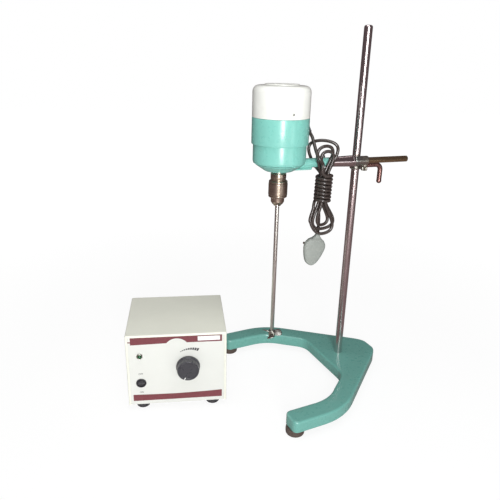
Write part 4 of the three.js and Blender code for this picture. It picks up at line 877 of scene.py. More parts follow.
def run(place_of_run, start, end):
    """A straight run's points between its two ends, which the stretches before and after it give."""
    across, forward = place_of_run
    return [(across, forward, lerp(start, end, (i + 1) / RUN_STEPS)) for i in range(RUN_STEPS - 1)]


def binding_turns(diameter):
    """The turns round the hank's waist, with the bend into them and the bend down out of them."""
    front = HANK_FORWARD + BINDING["radius"]
    bend = BINDING["bend"]
    bend_top = BINDING["top"] + bend
    points = [(-bend, front, bend_top + diameter)]
    for i in range(BINDING["steps"]):
        angle = QUARTER_TURN * i / BINDING["steps"]
        points.append((-bend * math.cos(angle), front, bend_top - bend * math.sin(angle)))
    degrees = 360 * (BINDING["turns"] + 1) + 90 - BINDING["exit"]
    steps = round(degrees / 360 * LOOP_STEPS)
    for i in range(steps + 1):
        turned = degrees * i / steps
        angle = math.radians(90 - turned)
        across = BINDING["radius"] * math.cos(angle)
        forward = HANK_FORWARD + BINDING["radius"] * math.sin(angle)
        points.append((across, forward, BINDING["top"] - BINDING["pitch"] * turned / 360))
    x, y, z = points[-1]
    leaving = math.radians(BINDING["exit"])
    for i in range(1, BINDING["steps"] + 1):
        angle = QUARTER_TURN * i / BINDING["steps"]
        out, down = bend * math.sin(angle), bend * (1 - math.cos(angle))
        points.append((x + out * math.sin(leaving), y - out * math.cos(leaving), z - down))
    return points


def first_foot(start):
    """The first foot starts from the binding turns' last bend, on the left."""
    size = FIRST_FOOT
    across, front = PLACES["front_right"]
    centre = start[2] - size["drop"]
    steps = LOOP_STEPS // 3
    points = []
    for i in range(1, steps + 1):
        angle = QUARTER_TURN * i / steps
        sine = math.sin(angle)
        forward = lerp(start[1], front + size["fuller"], sine)
        points.append((-size["inner"] * math.cos(angle), forward, lerp(centre, size["tip"], sine)))
    forward = between_runs(PLACES["front_right"], PLACES["front_right"], size)
    ends = (RUN_BOTTOM, RUN_BOTTOM)
    rest = loop_end((-across, front), PLACES["front_right"], -1, size, ends, forward, LOOP_STEPS // 2 + 1)
    return points + rest


def third_top():
    """The third top hangs the hank: it goes over the arm and comes back under it."""

    def forward(angle, cosine, sine):
        degrees = math.degrees(angle)
        over = smoothstep(degrees, CROSSING["start"], CROSSING["end"])
        under = smoothstep(degrees, CROSSING["under_start"], CROSSING["under_end"])
        behind = lerp(HANK_FORWARD, -THIRD_TOP["behind"], over)
        return lerp(behind, PLACES["back_left"][1], under)

    ends = (RUN_TOP, THIRD_TOP["end"])
    return loop_end(PLACES["right"], PLACES["back_left"], 1, THIRD_TOP, ends, forward)


def tail_points():
    """The last stretch, from the foot of the back left run down to the plug."""
    across, forward = PLACES["back_left"]
    points = []
    for i in range(TAIL["steps"] + 1):
        share = i / TAIL["steps"]
        aside = across * (1 - smoothstep(share, 0, TAIL["middle_share"]))
        back = forward - TAIL["back"] * smoothstep(share, 0, TAIL["back_share"])
        points.append((aside, back, lerp(RUN_BOTTOM, TAIL["end"], share)))
    return points


def hank_points(diameter):
    """The hank from end to end: the binding turns, the loops with their straight runs, and the tail."""
    turns = binding_turns(diameter)
    return [
        *turns,
        *first_foot(turns[-1]),
        *run(PLACES["front_right"], RUN_BOTTOM, RUN_TOP),
        *top_of_loop(PLACES["front_right"], PLACES["front_left"], FIRST_TOP),
        *run(PLACES["front_left"], RUN_TOP, RUN_BOTTOM),
        *foot_of_loop(PLACES["front_left"], PLACES["middle"], SECOND_FOOT),
        *run(PLACES["middle"], RUN_BOTTOM, RUN_TOP),
        *top_of_loop(PLACES["middle"], PLACES["left"], SECOND_TOP),
        *run(PLACES["left"], RUN_TOP, RUN_BOTTOM),
        *foot_of_loop(PLACES["left"], PLACES["right"], THIRD_FOOT),
        *run(PLACES["right"], RUN_BOTTOM, RUN_TOP),
        *third_top(),
        *run(PLACES["back_left"], THIRD_TOP["end"], RUN_BOTTOM),
        *tail_points(),
    ]


def in_head(x, y, z):
    """A point of the head's frame, in millimetres, as a point of the row's."""
    return HEAD @ Vector((x * MM, y * MM, z * MM))


def hung(point):
    """A point of the hank's frame as a point of the row's. The hank leans a little on its way down."""
    across, forward, up = point
    leaning = smoothstep(-up, -RUN_TOP, -RUN_BOTTOM)
    return in_head(HANK_LEAN * leaning - HANK_CENTRE - across, forward, up)


def curved(points, steps):
    """Points along a smooth curve through the given ones."""
    ends = [2 * points[0] - points[1], *points, 2 * points[-1] - points[-2]]
    line = []
    for a, b, c, d in zip(ends, ends[1:], ends[2:], ends[3:]):
        squared_part = 2 * a - 5 * b + 4 * c - d
        cubed_part = 3 * b - a - 3 * c + d
        for k in range(steps):
            t = k / steps
            line.append(0.5 * (2 * b + (c - a) * t + squared_part * t**2 + cubed_part * t**3))
    return [*line, points[-1]]


def gland_line():
    """The gland's knuckle, and the way its tail points."""
    way = math.radians(GLAND["turn"])
    reach = GLAND["reach"]
    middle = in_head(reach * math.cos(way), reach * math.sin(way), GLAND["height"])
    return middle, (in_head(*LEAD_ROUTE[0]) - middle).normalized()


def build_cord(sizes):
    """The mains lead as one round curve from the gland to the plug, with the gland and the plug on it."""
    middle, way = gland_line()
    diameter = sizes.diameter
    mouth = middle + way * (GLAND["tail"] + GLAND["gap"]) * MM
    hank = [hung(p) for p in hank_points(diameter / MM)]
    into_hank = hank[0] + Vector((0, 0, diameter))
    route = [mouth, mouth + way * diameter, *[in_head(*p) for p in LEAD_ROUTE], into_hank]
    points = curved([*route, *hank], CORD_STEPS)
    curve = bpy.data.curves.new("mains_lead", "CURVE")
    curve.dimensions = "3D"
    curve.bevel_depth = diameter / 2
    curve.bevel_resolution = CORD_BEVEL
    curve.use_fill_caps = True
    spline = curve.splines.new("POLY")
    spline.points.add(len(points) - 1)
    for spline_point, point in zip(spline.points, points):
        spline_point.co = (*point, 1)
    spline.use_smooth = True
    curve.materials.append(FINISHES["cord"])
    cord = linked("mains_lead", curve)
    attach(cord, "head")
    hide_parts("cord_lead", "cord_hank")
    pieces = [build_gland(sizes, middle, way), *build_plug(sizes, hank[-1])]
    whole = sum((b - a).length for a, b in zip(points, points[1:]))


def build_gland(sizes, middle, way):
    """A ball knuckle on a short root, and a tapered sleeve with rings round it."""
    knuckle, mouth, tail, reach = (GLAND[name] * MM for name in ("knuckle", "mouth", "tail", "reach"))
    first_ring = knuckle * 0.95
    sleeve_start = first_ring * 0.6
    groove, lip = 0.7 * MM, 1.2 * MM
    rings = sizes.gland_rings
    step = (tail - first_ring) / rings
    corners = [(0, sleeve_start), (knuckle * 0.93, sleeve_start, 1 * MM)]
    for i in range(rings):
        z = first_ring + step * (i + 0.35)
        radius = lerp(knuckle * 0.9, mouth, (i + 0.5) / rings)
        corners += [
            (radius, z, 0.4 * MM),
            (radius - groove, z + step * 0.25, EASED),
            (radius - groove, z + step * 0.5, EASED),
        ]
    corners += [(mouth, tail - lip, 0.5 * MM), (mouth, tail, 0.6 * MM), (0, tail)]
    sleeve = moved(lathe(corners, SMALL_SIDES), facing(middle, way))
    joint = moved(ball(knuckle), Matrix.Translation(middle))
    turned = math.radians(GLAND["turn"])
    inward = HEAD.to_3x3() @ Vector((-math.cos(turned), -math.sin(turned), 0))
    depth = reach - (Node("upper_housing").radius + GLAND["gap"] * MM)
    root = lathe([(0, 0), (knuckle, 0), (knuckle * 1.12, depth, 0.5 * MM), (0, depth)], SMALL_SIDES)
    moved(root, facing(middle, inward))
    forms = joined(sleeve, joint, root)
    return piece("gland", forms, "head", "gland", replaces=["cord_gland"])


# Plug of the mains lead

PLUG_HEIGHT = 66 * MM
PLUG_HALF_WIDTH = 23.8 * MM
PLUG_HALF_DEPTH = 7.8 * MM
PLUG_LEAN = math.radians(12)
PLUG_RINGS = 60
PLUG_SIDES = 48
PLUG_CHAMFER = {"width": 0.93, "depth": 0.85}
PLUG_ROUNDNESS = {"width": 0.7, "depth": 0.75}
PLUG_NECK_STEPS = 3
# The plug's outline from its neck down: shares of its height and, with each, of its half width. It
# steps softly through the neck and runs straight from one to the next below it.
PLUG_OUTLINE = [
    (0, 0.2), (0.06, 0.23), (0.12, 0.42), (0.2, 0.74), (0.28, 0.92), (0.38, 1), (0.48, 0.98),
    (0.62, 0.88), (0.76, 0.74), (0.87, 0.6), (0.94, 0.44), (0.98, 0.28), (1, 0.14),
]


def plug_width(share):
    """The share of the plug's half width at a share of its height."""
    k = max(i for i, (at, _) in enumerate(PLUG_OUTLINE[:-1]) if at <= share)
    (above, first), (below, second) = PLUG_OUTLINE[k], PLUG_OUTLINE[k + 1]
    if k < PLUG_NECK_STEPS:
        return lerp(first, second, smoothstep(share, above, below))
    return lerp(first, second, (share - above) / (below - above))


def plug_depth(share):
    """The share of the plug's half depth at a share of its height: less at its neck and at its foot."""
    neck, foot = 0.62, 0.8
    return lerp(neck, 1, smoothstep(share, 0.05, 0.25)) * lerp(1, foot, smoothstep(share, 0.7, 1))


def squared(value, exponent):
    """A sine or cosine made larger, so that a circle of them comes nearer to a square."""
    return math.copysign(abs(value) ** exponent, value)


def plug_form():
    """The plug's shell: rounded sections down its height, the first and the last drawn in a little."""
    bm = bmesh.new()
    rings = []
    for i in range(PLUG_RINGS + 1):
        share = i / PLUG_RINGS
        wide = PLUG_HALF_WIDTH * plug_width(share)
        deep = PLUG_HALF_DEPTH * plug_depth(share)
        if i in (0, PLUG_RINGS):
            wide *= PLUG_CHAMFER["width"]
            deep *= PLUG_CHAMFER["depth"]
        ring = []
        for j in range(PLUG_SIDES):
            angle = FULL_TURN * j / PLUG_SIDES
            x = wide * squared(math.cos(angle), PLUG_ROUNDNESS["width"])
            y = deep * squared(math.sin(angle), PLUG_ROUNDNESS["depth"])
            ring.append(bm.verts.new((x, y, -PLUG_HEIGHT * share)))
        rings.append(ring)
    skin(bm, rings)
    bm.faces.new(rings[0])
    bm.faces.new(rings[-1][::-1])
    return cleaned(bm)


def build_plug(sizes, top):
    """The moulded pear of the plug, flat on both faces, and its two pins out of the back one."""
    drop = (GLAND["gap"] + sizes.diameter / MM / 2 * math.sin(PLUG_LEAN)) * MM
    hanging = Matrix.Translation(top - Vector((0, 0, drop))) @ turn(ARM_TURN, "Z") @ turn(-PLUG_LEAN, "Y")
    shell = piece("plug_shell", plug_form(), "head", "plug", hanging, ["plug_body"], sharp=50)
    with_modifiers(shell, ("SMOOTH", {"factor": 0.5, "iterations": 4}))
    face, plate_height = 8.3 * MM, 30 * MM
    plate_radius, plate_rim = 15 * MM, face + 2.5 * MM
    pin_radius, pin_root, pin_tip, pin_spacing = 2.4 * MM, face + 2 * MM, face + 21.5 * MM, 9.5 * MM
    parts = [cylinder(plate_radius, face, plate_rim, EASED, 0.9 * MM)]
    for side in (-1, 1):
        pin = cylinder(pin_radius, pin_root, pin_tip, 0, 1 * MM, SMALL_SIDES)
        parts.append(moved(pin, place(side * pin_spacing, 0, 0)))
    back = hanging @ place(0, 0, -plate_height) @ turn(QUARTER_TURN, "X")
    prongs = piece("plug_prongs", joined(*parts), "head", "brass", back, ["plug_pins"])
    return [shell, prongs]


# Camera, fitted to the photograph

CAMERA_PLACE = (-343.2 * MM, -982.3 * MM, 662.6 * MM)
CAMERA_YAW = math.radians(7.75)
CAMERA_PITCH = math.radians(20.47)
CAMERA_ROLL = math.radians(-1.35)
FOCAL_PIXELS = 509.8
PICTURE_PIXELS = 500
SENSOR_WIDTH = 36


def build_camera():
    """A plain perspective camera where the photographer's stood."""
    level = Vector((math.sin(CAMERA_YAW), math.cos(CAMERA_YAW), 0))
    right = Vector((math.cos(CAMERA_YAW), -math.sin(CAMERA_YAW), 0))
    forward = level * math.cos(CAMERA_PITCH) - Vector((0, 0, math.sin(CAMERA_PITCH)))
    down = forward.cross(right)
    across = right * math.cos(CAMERA_ROLL) + down * math.sin(CAMERA_ROLL)
    below = down * math.cos(CAMERA_ROLL) - right * math.sin(CAMERA_ROLL)
    data = bpy.data.cameras.new("camera")
    data.sensor_width = SENSOR_WIDTH
    data.lens = FOCAL_PIXELS / PICTURE_PIXELS * SENSOR_WIDTH
    camera = linked("camera", data)
    axes = Matrix((across, -below, -forward)).transposed().to_4x4()
    camera.matrix_world = BENCH @ place(*CAMERA_PLACE) @ axes
    bpy.context.scene.camera = camera


# Stand

# Half of the base's outline, in shares of its reach to the open side and of its half width. A bend has
# its corner first and its end second.
BASE_OUTLINE_SHARES = [
    [(-0.407, 0.067)],
    [(-0.407, 0.124), (-0.324, 0.2135)],
    [(0.287, 0.82)],
    [(0.4676, 1), (0.6944, 1)],
    [(0.9444, 1)],
    [(1, 1), (1, 0.9326)],
    [(1, 0.8427)],
    [(1, 0.7753), (0.9444, 0.7753)],
    [(0.6944, 0.7753)],
    [(0.5185, 0.7753), (0.3935, 0.6292)],
    [(0.2546, 0.4944)],
    [(0.1898, 0.427), (0.1898, 0.3258)],
]
BASE_EDGE_STEPS = 7


def base_outline():
    """The base's outline: the half given in shares, with its bends as curves, and its mirror image."""
    corners = corners_in(BASE, "stand_base")
    reach = max(c.x for c in corners)
    half = max(c.y for c in corners)
    points = []
    for stretch in BASE_OUTLINE_SHARES:
        ends = [Vector((x * reach, y * half)) for x, y in stretch]
        if len(ends) == 1:
            points.append(ends[0])
            continue
        start = points[-1]
        corner, end = ends
        for k in range(1, BEND_STEPS + 1):
            t = k / BEND_STEPS
            points.append(start.lerp(corner, t).lerp(corner.lerp(end, t), t))
    other_half = [Vector((p.x, -p.y)) for p in reversed(points)]
    return points + other_half


def build_stand(sizes):
    base = Node("stand_base")
    casting = slab(base_outline(), base.bottom, base.top, sizes.edge, sizes.lower_edge, BASE_EDGE_STEPS)
    # The casting wears the darkened copy of the sea-green enamel, which is painted shade.
    piece("base_casting", casting, "stand_and_regulator", "base", BASE, ["stand_base"])
    rod = cylinder(ROD.radius, ROD.bottom, ROD.top, 0.5 * MM, sizes.rod_crown)
    piece("upright_rod", rod, "stand_and_regulator", "chrome", BENCH, ["stand_rod"])
    for name in ("stand_foot_front", "stand_foot_back", "stand_foot_heel"):
        build_foot(name, base.bottom, sizes, "foot")
    keep("nickel", "stand_rod_nut")


def build_foot(name, top, sizes, finish):
    """A turned rubber foot with a hollow in its sole, a groove round it, and its stud."""
    node = Node(name)
    radius = node.radius
    narrowed = radius * 0.97
    hollow_top = node.bottom + 1 * MM
    shoulder = top - CLEARANCE
    groove = sizes.foot_groove
    height = shoulder - node.bottom
    waist = node.bottom + height * 0.62
    bm = lathe([
        (0, hollow_top),
        (radius * 0.35, hollow_top, 1 * MM),
        (radius * 0.4, node.bottom, 0.4 * MM),
        (narrowed, node.bottom, min(sizes.foot_edge, height * 0.3)),
        (radius, waist, 0.6 * MM),
        (radius - groove, waist + groove, EASED),
        (radius, waist + 2 * groove, 0.6 * MM),
        (narrowed, shoulder, 1 * MM),
        (sizes.stud, shoulder),
        (sizes.stud, node.top),
        (0, node.top),
    ])
    matrix = place(node.middle.x, node.middle.y, 0)
    piece(name + "_rubber", bm, "stand_and_regulator", finish, matrix, [name])


# Clamp and arm, in the arm's frame: the upright rod at its middle, and X toward the motor

HANDLE_SIDE = -14 * MM
HANDLE_DROP = 13.5 * MM


def build_clamp(sizes):
    build_clamp_casting(sizes)
    build_handle(sizes)
    build_arm_screw(sizes)
    build_arm(sizes)


def build_clamp_casting(sizes):
    """Hubs round the upright, the arm and both screws, with a web between them, cast in one."""
    motor_side, top, bottom, edge = 16 * MM, 4.5 * MM, -20 * MM, sizes.hub_edge
    lock_x, lock_bottom, lock_top = -8 * MM, -12.5 * MM, -7 * MM
    arm_bore, handle_bore, lock_bore = ARM_RADIUS + CLEARANCE, 5.3 * MM, 3.3 * MM
    upright_hub = bored(11.5 * MM, ROD.radius + CLEARANCE, bottom, top, edge, edge)
    arm_hub = bored(9 * MM, arm_bore, HANDLE_SIDE, motor_side, edge, edge)
    handle_hub = bored(8 * MM, handle_bore, HANDLE_SIDE, -10 * MM, edge, edge)
    lock_hub = bored(6.5 * MM, lock_bore, lock_bottom, lock_top, edge, edge)
    web_low = (HANDLE_SIDE + 1 * MM, 9 * MM, lock_bottom + 1 * MM)
    web_high = (10 * MM, ARM_OFFSET - 7 * MM, top - 1 * MM)
    forms = [
        upright_hub,
        moved(arm_hub, place(0, ARM_OFFSET, 0) @ TO_X),
        moved(handle_hub, place(0, 0, -HANDLE_DROP) @ TO_X),
        moved(lock_hub, place(lock_x, ARM_OFFSET, 0)),
        brick(web_low, web_high, 1 * MM),
    ]
    casting = piece("clamp_casting", joined(*forms), "boss", "nickel", ARM, ["boss_head"])
    as_casting(casting, sizes)


def build_handle(sizes):
    """The screw that grips the upright: a bar bent down to a ball end, and its collar at the casting."""
    reach, bend, hang = 58 * MM, 11 * MM, 34 * MM
    level_steps, hanging_steps = 6, 5
    tip = -ROD.radius - CLEARANCE
    bend_start = bend - reach
    points = [Vector((lerp(tip, bend_start, k / level_steps), 0, -HANDLE_DROP)) for k in range(level_steps)]
    for k in range(BEND_STEPS + 1):
        angle = QUARTER_TURN * k / BEND_STEPS
        out, down = bend * math.sin(angle), bend * (1 - math.cos(angle))
        points.append(Vector((bend_start - out, 0, -HANDLE_DROP - down)))
    for k in range(1, hanging_steps + 1):
        points.append(Vector((-reach, 0, -HANDLE_DROP - lerp(bend, hang, k / hanging_steps))))
    bar = swept(points, sizes.handle)
    end = moved(ball(sizes.handle * 1.06), place(-reach, 0, -HANDLE_DROP - hang))
    flange, neck, neck_end = 7 * MM, 6 * MM, -7 * MM
    collar = lathe([
        (0, 0),
        (flange, 0, 0.5 * MM),
        (flange, -3.6 * MM, 0.8 * MM),
        (neck, -4.2 * MM, EASED),
        (neck, neck_end, 1 * MM),
        (0, neck_end),
    ], SMALL_SIDES)
    moved(collar, place(HANDLE_SIDE - CLEARANCE, 0, -HANDLE_DROP) @ TO_X)
    piece("clamp_handle", joined(bar, end, collar), "rod_screw", "handle", ARM, ["rod_clamp_screw"])


def build_arm_screw(sizes):
    """The screw under the arm, with a knurled head."""
    lock = Node("arm_clamp_screw")
    head_top = lock.bottom + 7 * MM
    bevel, stem = 1 * MM, 3 * MM
    ridge = 0.25 * MM
    rim = lock.radius - ridge

    def knurl(angle, radius, z):
        return ridge * math.cos(angle * sizes.knurls) if radius > lock.radius * 0.9 else 0

    bm = lathe([
        (0, lock.bottom),
        (lock.radius - bevel, lock.bottom, 0.4 * MM),
        (rim, lock.bottom + bevel, EASED),
        (rim, head_top - 0.6 * MM),
        (lock.radius - bevel, head_top),
        (stem, head_top),
        (stem, lock.top),
        (0, lock.top),
    ], sides=sizes.knurls * 6, ripple=knurl)
    matrix = place(lock.middle.x, lock.middle.y, 0)
    piece("arm_lock_screw", bm, "arm_screw", "nickel", matrix, ["arm_clamp_screw"])


def build_arm(sizes):
    """The level rod, and the turned sleeve on it, which tapers toward the motor."""
    start, end = ends_along(ALONG_ARM, "arm_rod")
    rod = cylinder(ARM_RADIUS, start, end, sizes.arm_edge)
    piece("brass_arm", rod, "arm", "brass", ALONG_ARM, ["arm_rod"])
    start, end = ends_along(ALONG_ARM, "arm_sleeve")
    bore = ARM_RADIUS + CLEARANCE
    flange, groove, cone, nose = 11 * MM, 10.2 * MM, 10.9 * MM, 9.5 * MM
    sleeve = lathe([
        (bore, start),
        (flange, start, 0.8 * MM),
        (flange, start + 4 * MM, EASED),
        (groove, start + 4.6 * MM, 0.2 * MM),
        (groove, start + 5.6 * MM, 0.2 * MM),
        (cone, start + 6.4 * MM, 0.6 * MM),
        (nose, end - 3.2 * MM, 0.6 * MM),
        (nose, end, 0.8 * MM),
        (bore, end),
    ])
    piece("tapered_sleeve", sleeve, "arm", "sleeve", ALONG_ARM, ["arm_sleeve"])


# Motor

SHELL_WALL = 3 * MM


def build_motor(sizes):
    build_cap(sizes)
    build_shells(sizes)
    build_bracket(sizes)
    build_cap_screw()


def build_cap(sizes):
    """The white cap with a hole in its top, and the dished lid that closes it."""
    hole, inside = 24 * MM, CAP.radius - SHELL_WALL
    cap = lathe([
        (inside, CAP.bottom),
        (CAP.radius, CAP.bottom, sizes.lip),
        (CAP.radius, CAP.top, sizes.shoulder),
        (hole, CAP.top, EASED),
        (hole, CAP.top - SHELL_WALL),
        (inside, CAP.top - SHELL_WALL, sizes.shoulder - SHELL_WALL),
    ])
    piece("cap_shell", cap, "head", "white", MOTOR, ["motor_cap"])
    lid = Node("cap_lid")
    neck, seat, dish = hole - CLEARANCE, CAP.top + CLEARANCE, lid.top - 0.6 * MM
    disc = lathe([
        (0, lid.bottom),
        (neck, lid.bottom),
        (neck, seat),
        (sizes.lid_radius, seat, 0.2 * MM),
        (sizes.lid_radius, lid.top, 0.8 * MM),
        (sizes.lid_radius - 4 * MM, lid.top, 0.4 * MM),
        (sizes.lid_radius - 5 * MM, dish, 0.4 * MM),
        (0, dish),
    ])
    piece("cap_lid_disc", disc, "head", "white", MOTOR, ["cap_lid"])


def build_shells(sizes):
    """The two green shells: a plain ring, and a narrower skirt under it, rounded at its foot."""
    upper, lower = Node("upper_housing"), Node("lower_housing")
    ring = bored(upper.radius, upper.radius - SHELL_WALL, upper.bottom, upper.top, sizes.lip, sizes.lip)
    piece("upper_shell", ring, "head", "paint", MOTOR, ["upper_housing"])
    inside, skirt_top = lower.radius - SHELL_WALL, upper.bottom - CLEARANCE
    skirt = lathe([
        (inside, lower.bottom),
        (lower.radius - 1 * MM, lower.bottom, 0.4 * MM),
        (lower.radius, lower.bottom + 4 * MM, 3 * MM),
        (lower.radius, skirt_top, 0.5 * MM),
        (inside, skirt_top),
    ])
    piece("lower_shell", skirt, "head", "paint", MOTOR, ["lower_housing"])


def build_bracket(sizes):
    """The cast bowl and its arm, run together with soft inner corners, and their screws."""
    bottom, rim_top, wall = -12 * MM, 3 * MM, 4 * MM
    bore, foot, rim = 7.9 * MM, 26 * MM, 48.5 * MM
    bowl = lathe([
        (bore, bottom),
        (foot, bottom, 5 * MM),
        (rim, rim_top, 0.8 * MM),
        (rim - wall, rim_top),
        (foot - wall, bottom + wall),
        (bore, bottom + wall),
    ])
    end = min(corner.x for corner in corners_in(HEAD, "motor_bracket"))
    barrel_bore, barrel_radius, barrel_length = 6.4 * MM, 9 * MM, 70 * MM
    barrel = bored(barrel_radius, barrel_bore, 0, barrel_length, 1 * MM)
    moved(barrel, place(end, 0, 0) @ TO_X)
    flange_end, flange_half = -65 * MM, 11 * MM
    flange_outline = rounded_rectangle(flange_end, -20 * MM, -flange_half, flange_half, 3 * MM)
    flange = slab(flange_outline, bottom, bottom + wall, 1 * MM, 1 * MM)
    web = brick((flange_end, -3 * MM, bottom + 1 * MM), (-30 * MM, 3 * MM, -6 * MM), 0.6 * MM)
    pad_radius, pad_top = 4.6 * MM, bottom + 6 * MM
    pads = []
    for x in (-34 * MM, -58 * MM):
        pad = cylinder(pad_radius, bottom, pad_top, 0.6 * MM, 0, SMALL_SIDES)
        pads.append(moved(pad, place(x, -7 * MM, 0)))
    forms = joined(bowl, barrel, flange, web, *pads)
    casting = piece("cast_bracket", forms, "head", "paint", HEAD, ["motor_bracket"])
    as_casting(casting, sizes)
    build_bowl_screws(sizes, bottom)
    build_grub_screw(end)


def build_bowl_screws(sizes, bottom):
    """Four low screw heads under the bowl."""
    radius, circle, height = sizes.screw_radius, 21 * MM, 1.9 * MM
    heads = []
    for degrees in (60, 150, 240, 330):
        head = lathe([
            (0, 0),
            (radius, 0, EASED),
            (radius * 0.85, -1.7 * MM, 0.6 * MM),
            (0, -height),
        ], SMALL_SIDES)
        way = math.radians(degrees)
        heads.append(moved(head, place(circle * math.cos(way), circle * math.sin(way), bottom + 0.2 * MM)))
    piece("bowl_screws", joined(*heads), "head", "nickel", HEAD)


def build_grub_screw(barrel_end):
    """The screw on top of the barrel that holds the arm rod, with a socket in its head."""
    stem, head, socket = 2.5 * MM, 4 * MM, 2 * MM
    tip, head_bottom, head_top, socket_floor = 6.6 * MM, 9.3 * MM, 13.3 * MM, 11.5 * MM
    from_end = 20 * MM
    bm = lathe([
        (0, tip),
        (stem, tip),
        (stem, head_bottom),
        (head, head_bottom, EASED),
        (head, head_top, 0.7 * MM),
        (socket, head_top),
        (socket - 0.3 * MM, socket_floor),
        (0, socket_floor),
    ], SMALL_SIDES)
    matrix = HEAD @ place(barrel_end + from_end, 0, 0)
    piece("bracket_grub_screw", bm, "head", "nickel", matrix, ["bracket_set_screw"])


def build_cap_screw():
    """The small round screw head in the cap's side."""
    node = Node("cap_screw")
    axis = Vector((CAP.middle.x, CAP.middle.y, node.middle.z))
    seat = CAP.radius + CLEARANCE
    radius, shank = 2.4 * MM, 1.5 * MM
    head = lathe([
        (0, seat - 2.5 * MM),
        (shank, seat - 2.5 * MM),
        (shank, seat),
        (radius, seat, 0.2 * MM),
        (radius * 0.75, seat + 1.1 * MM, 0.5 * MM),
        (0, seat + 1.2 * MM),
    ], SMALL_SIDES)
    matrix = facing(axis, (node.middle - axis).normalized())
    piece("cap_fixing_screw", head, "head", "nickel", matrix, ["cap_screw"])


# Chuck and stirrer

CHUCK_CORE = 13.2 * MM
SHAFT_RADIUS = 4 * MM


def build_chuck(sizes):
    build_chuck_core(sizes)
    build_sleeve(sizes)
    keep("dark_steel", "chuck_jaw_1", "chuck_jaw_2", "chuck_jaw_3")
    shaft = Node("stirring_shaft")
    bar = cylinder(SHAFT_RADIUS, shaft.bottom, shaft.top, 0.8 * MM, 0.8 * MM)
    piece("ground_shaft", bar, "stirrer", "steel", MOTOR, ["stirring_shaft"])
    build_impeller(sizes)


def build_chuck_core(sizes):
    """The chuck's body: a grooved collar over the sleeve, a core inside it and the nose under it."""
    body, sleeve = Node("chuck_body"), Node("chuck_sleeve")
    nose, groove = sizes.nose, body.radius - 0.9 * MM
    collar_bottom, nose_top = sleeve.top + CLEARANCE, sleeve.bottom - CLEARANCE
    spindle_hole, spindle_seat = 5.3 * MM, body.top - 20 * MM
    shaft_hole, jaw_room_top = 4.6 * MM, body.bottom + 22 * MM
    core = lathe([
        (spindle_hole, body.top),
        (body.radius, body.top, 1 * MM),
        (body.radius, sleeve.top + 4.5 * MM, 0.4 * MM),
        (groove, sleeve.top + 4 * MM, EASED),
        (groove, sleeve.top + 3.2 * MM, EASED),
        (body.radius, sleeve.top + 2.7 * MM, 0.4 * MM),
        (body.radius, collar_bottom, 0.5 * MM),
        (CHUCK_CORE, collar_bottom),
        (CHUCK_CORE, nose_top),
        (nose, nose_top, EASED),
        (nose, body.bottom + 5 * MM, 1.6 * MM),
        (9.6 * MM, body.bottom, 0.8 * MM),
        (7.8 * MM, body.bottom, EASED),
        (11.4 * MM, jaw_room_top),
        (shaft_hole, jaw_room_top),
        (shaft_hole, spindle_seat),
        (spindle_hole, spindle_seat),
    ])
    piece("chuck_core", core, "rotor", "dark_steel", MOTOR, ["chuck_body"])


def build_sleeve(sizes):
    """The chuck's sleeve: fine ridges round its middle, and a groove and a rounded ring at both ends."""
    sleeve = Node("chuck_sleeve")
    plain, fade, levels = 5 * MM, 1 * MM, 10
    low, high = sleeve.bottom + plain, sleeve.top - plain
    bore, ring, groove = CHUCK_CORE + CLEARANCE, sleeve.radius - 0.4 * MM, sleeve.radius - 1.1 * MM

    def ridged(angle, radius, z):
        inside = smoothstep(z, low, low + fade) * smoothstep(-z, -high, fade - high)
        outer = 1 if radius > sleeve.radius - 1.2 * MM else 0
        return -outer * inside * sizes.ridge * abs(math.sin(angle * sizes.ridges / 2))

    end = [
        (bore, 0, 0),
        (ring, 0, 1.6 * MM),
        (ring, plain - 1.4 * MM, EASED),
        (groove, plain - 1 * MM, 0),
        (groove, plain - 0.2 * MM, 0),
        (sleeve.radius, plain, EASED),
    ]
    corners = [(radius, sleeve.bottom + rise, rounding) for radius, rise, rounding in end]
    corners += [(sleeve.radius, lerp(low, high, k / levels)) for k in range(1, levels)]
    corners += [(radius, sleeve.top - rise, rounding) for radius, rise, rounding in reversed(end)]
    bm = lathe(corners, sides=sizes.ridges * 4, ripple=ridged)
    piece("knurled_sleeve", bm, "sleeve", "dark_steel", MOTOR, ["chuck_sleeve"])


def impeller_blade(sizes, hub_radius, reach, half):
    """A flat blade along X with round corners, twisted from its root to its tip."""
    root, root_half, neck = 5.5 * MM, 4.5 * MM, 9 * MM
    outline = softened([
        (root, -root_half),
        (neck, -half * 0.82, 3 * MM),
        (reach * 0.86, -half, 4 * MM),
        (reach, -half * 0.2, 5 * MM),
        (reach, half * 0.2, 5 * MM),
        (reach * 0.86, half, 4 * MM),
        (neck, half * 0.82, 3 * MM),
        (root, root_half),
    ], steps=6)
    thickness, edge = 1.6 * MM, 0.35 * MM
    longest_edge = 4 * MM
    blade = slab(outline, -thickness / 2, thickness / 2, edge, edge, steps=2)
    bmesh.ops.triangulate(blade, faces=[f for f in blade.faces if len(f.verts) > 4])
    bmesh.ops.subdivide_edges(blade, edges=[e for e in blade.edges if e.calc_length() > longest_edge], cuts=2)
    for vertex in blade.verts:
        twist = sizes.blade_twist * (0.5 - (vertex.co.x - hub_radius) / (reach - hub_radius))
        vertex.co = turn(twist, "X") @ vertex.co
    return blade


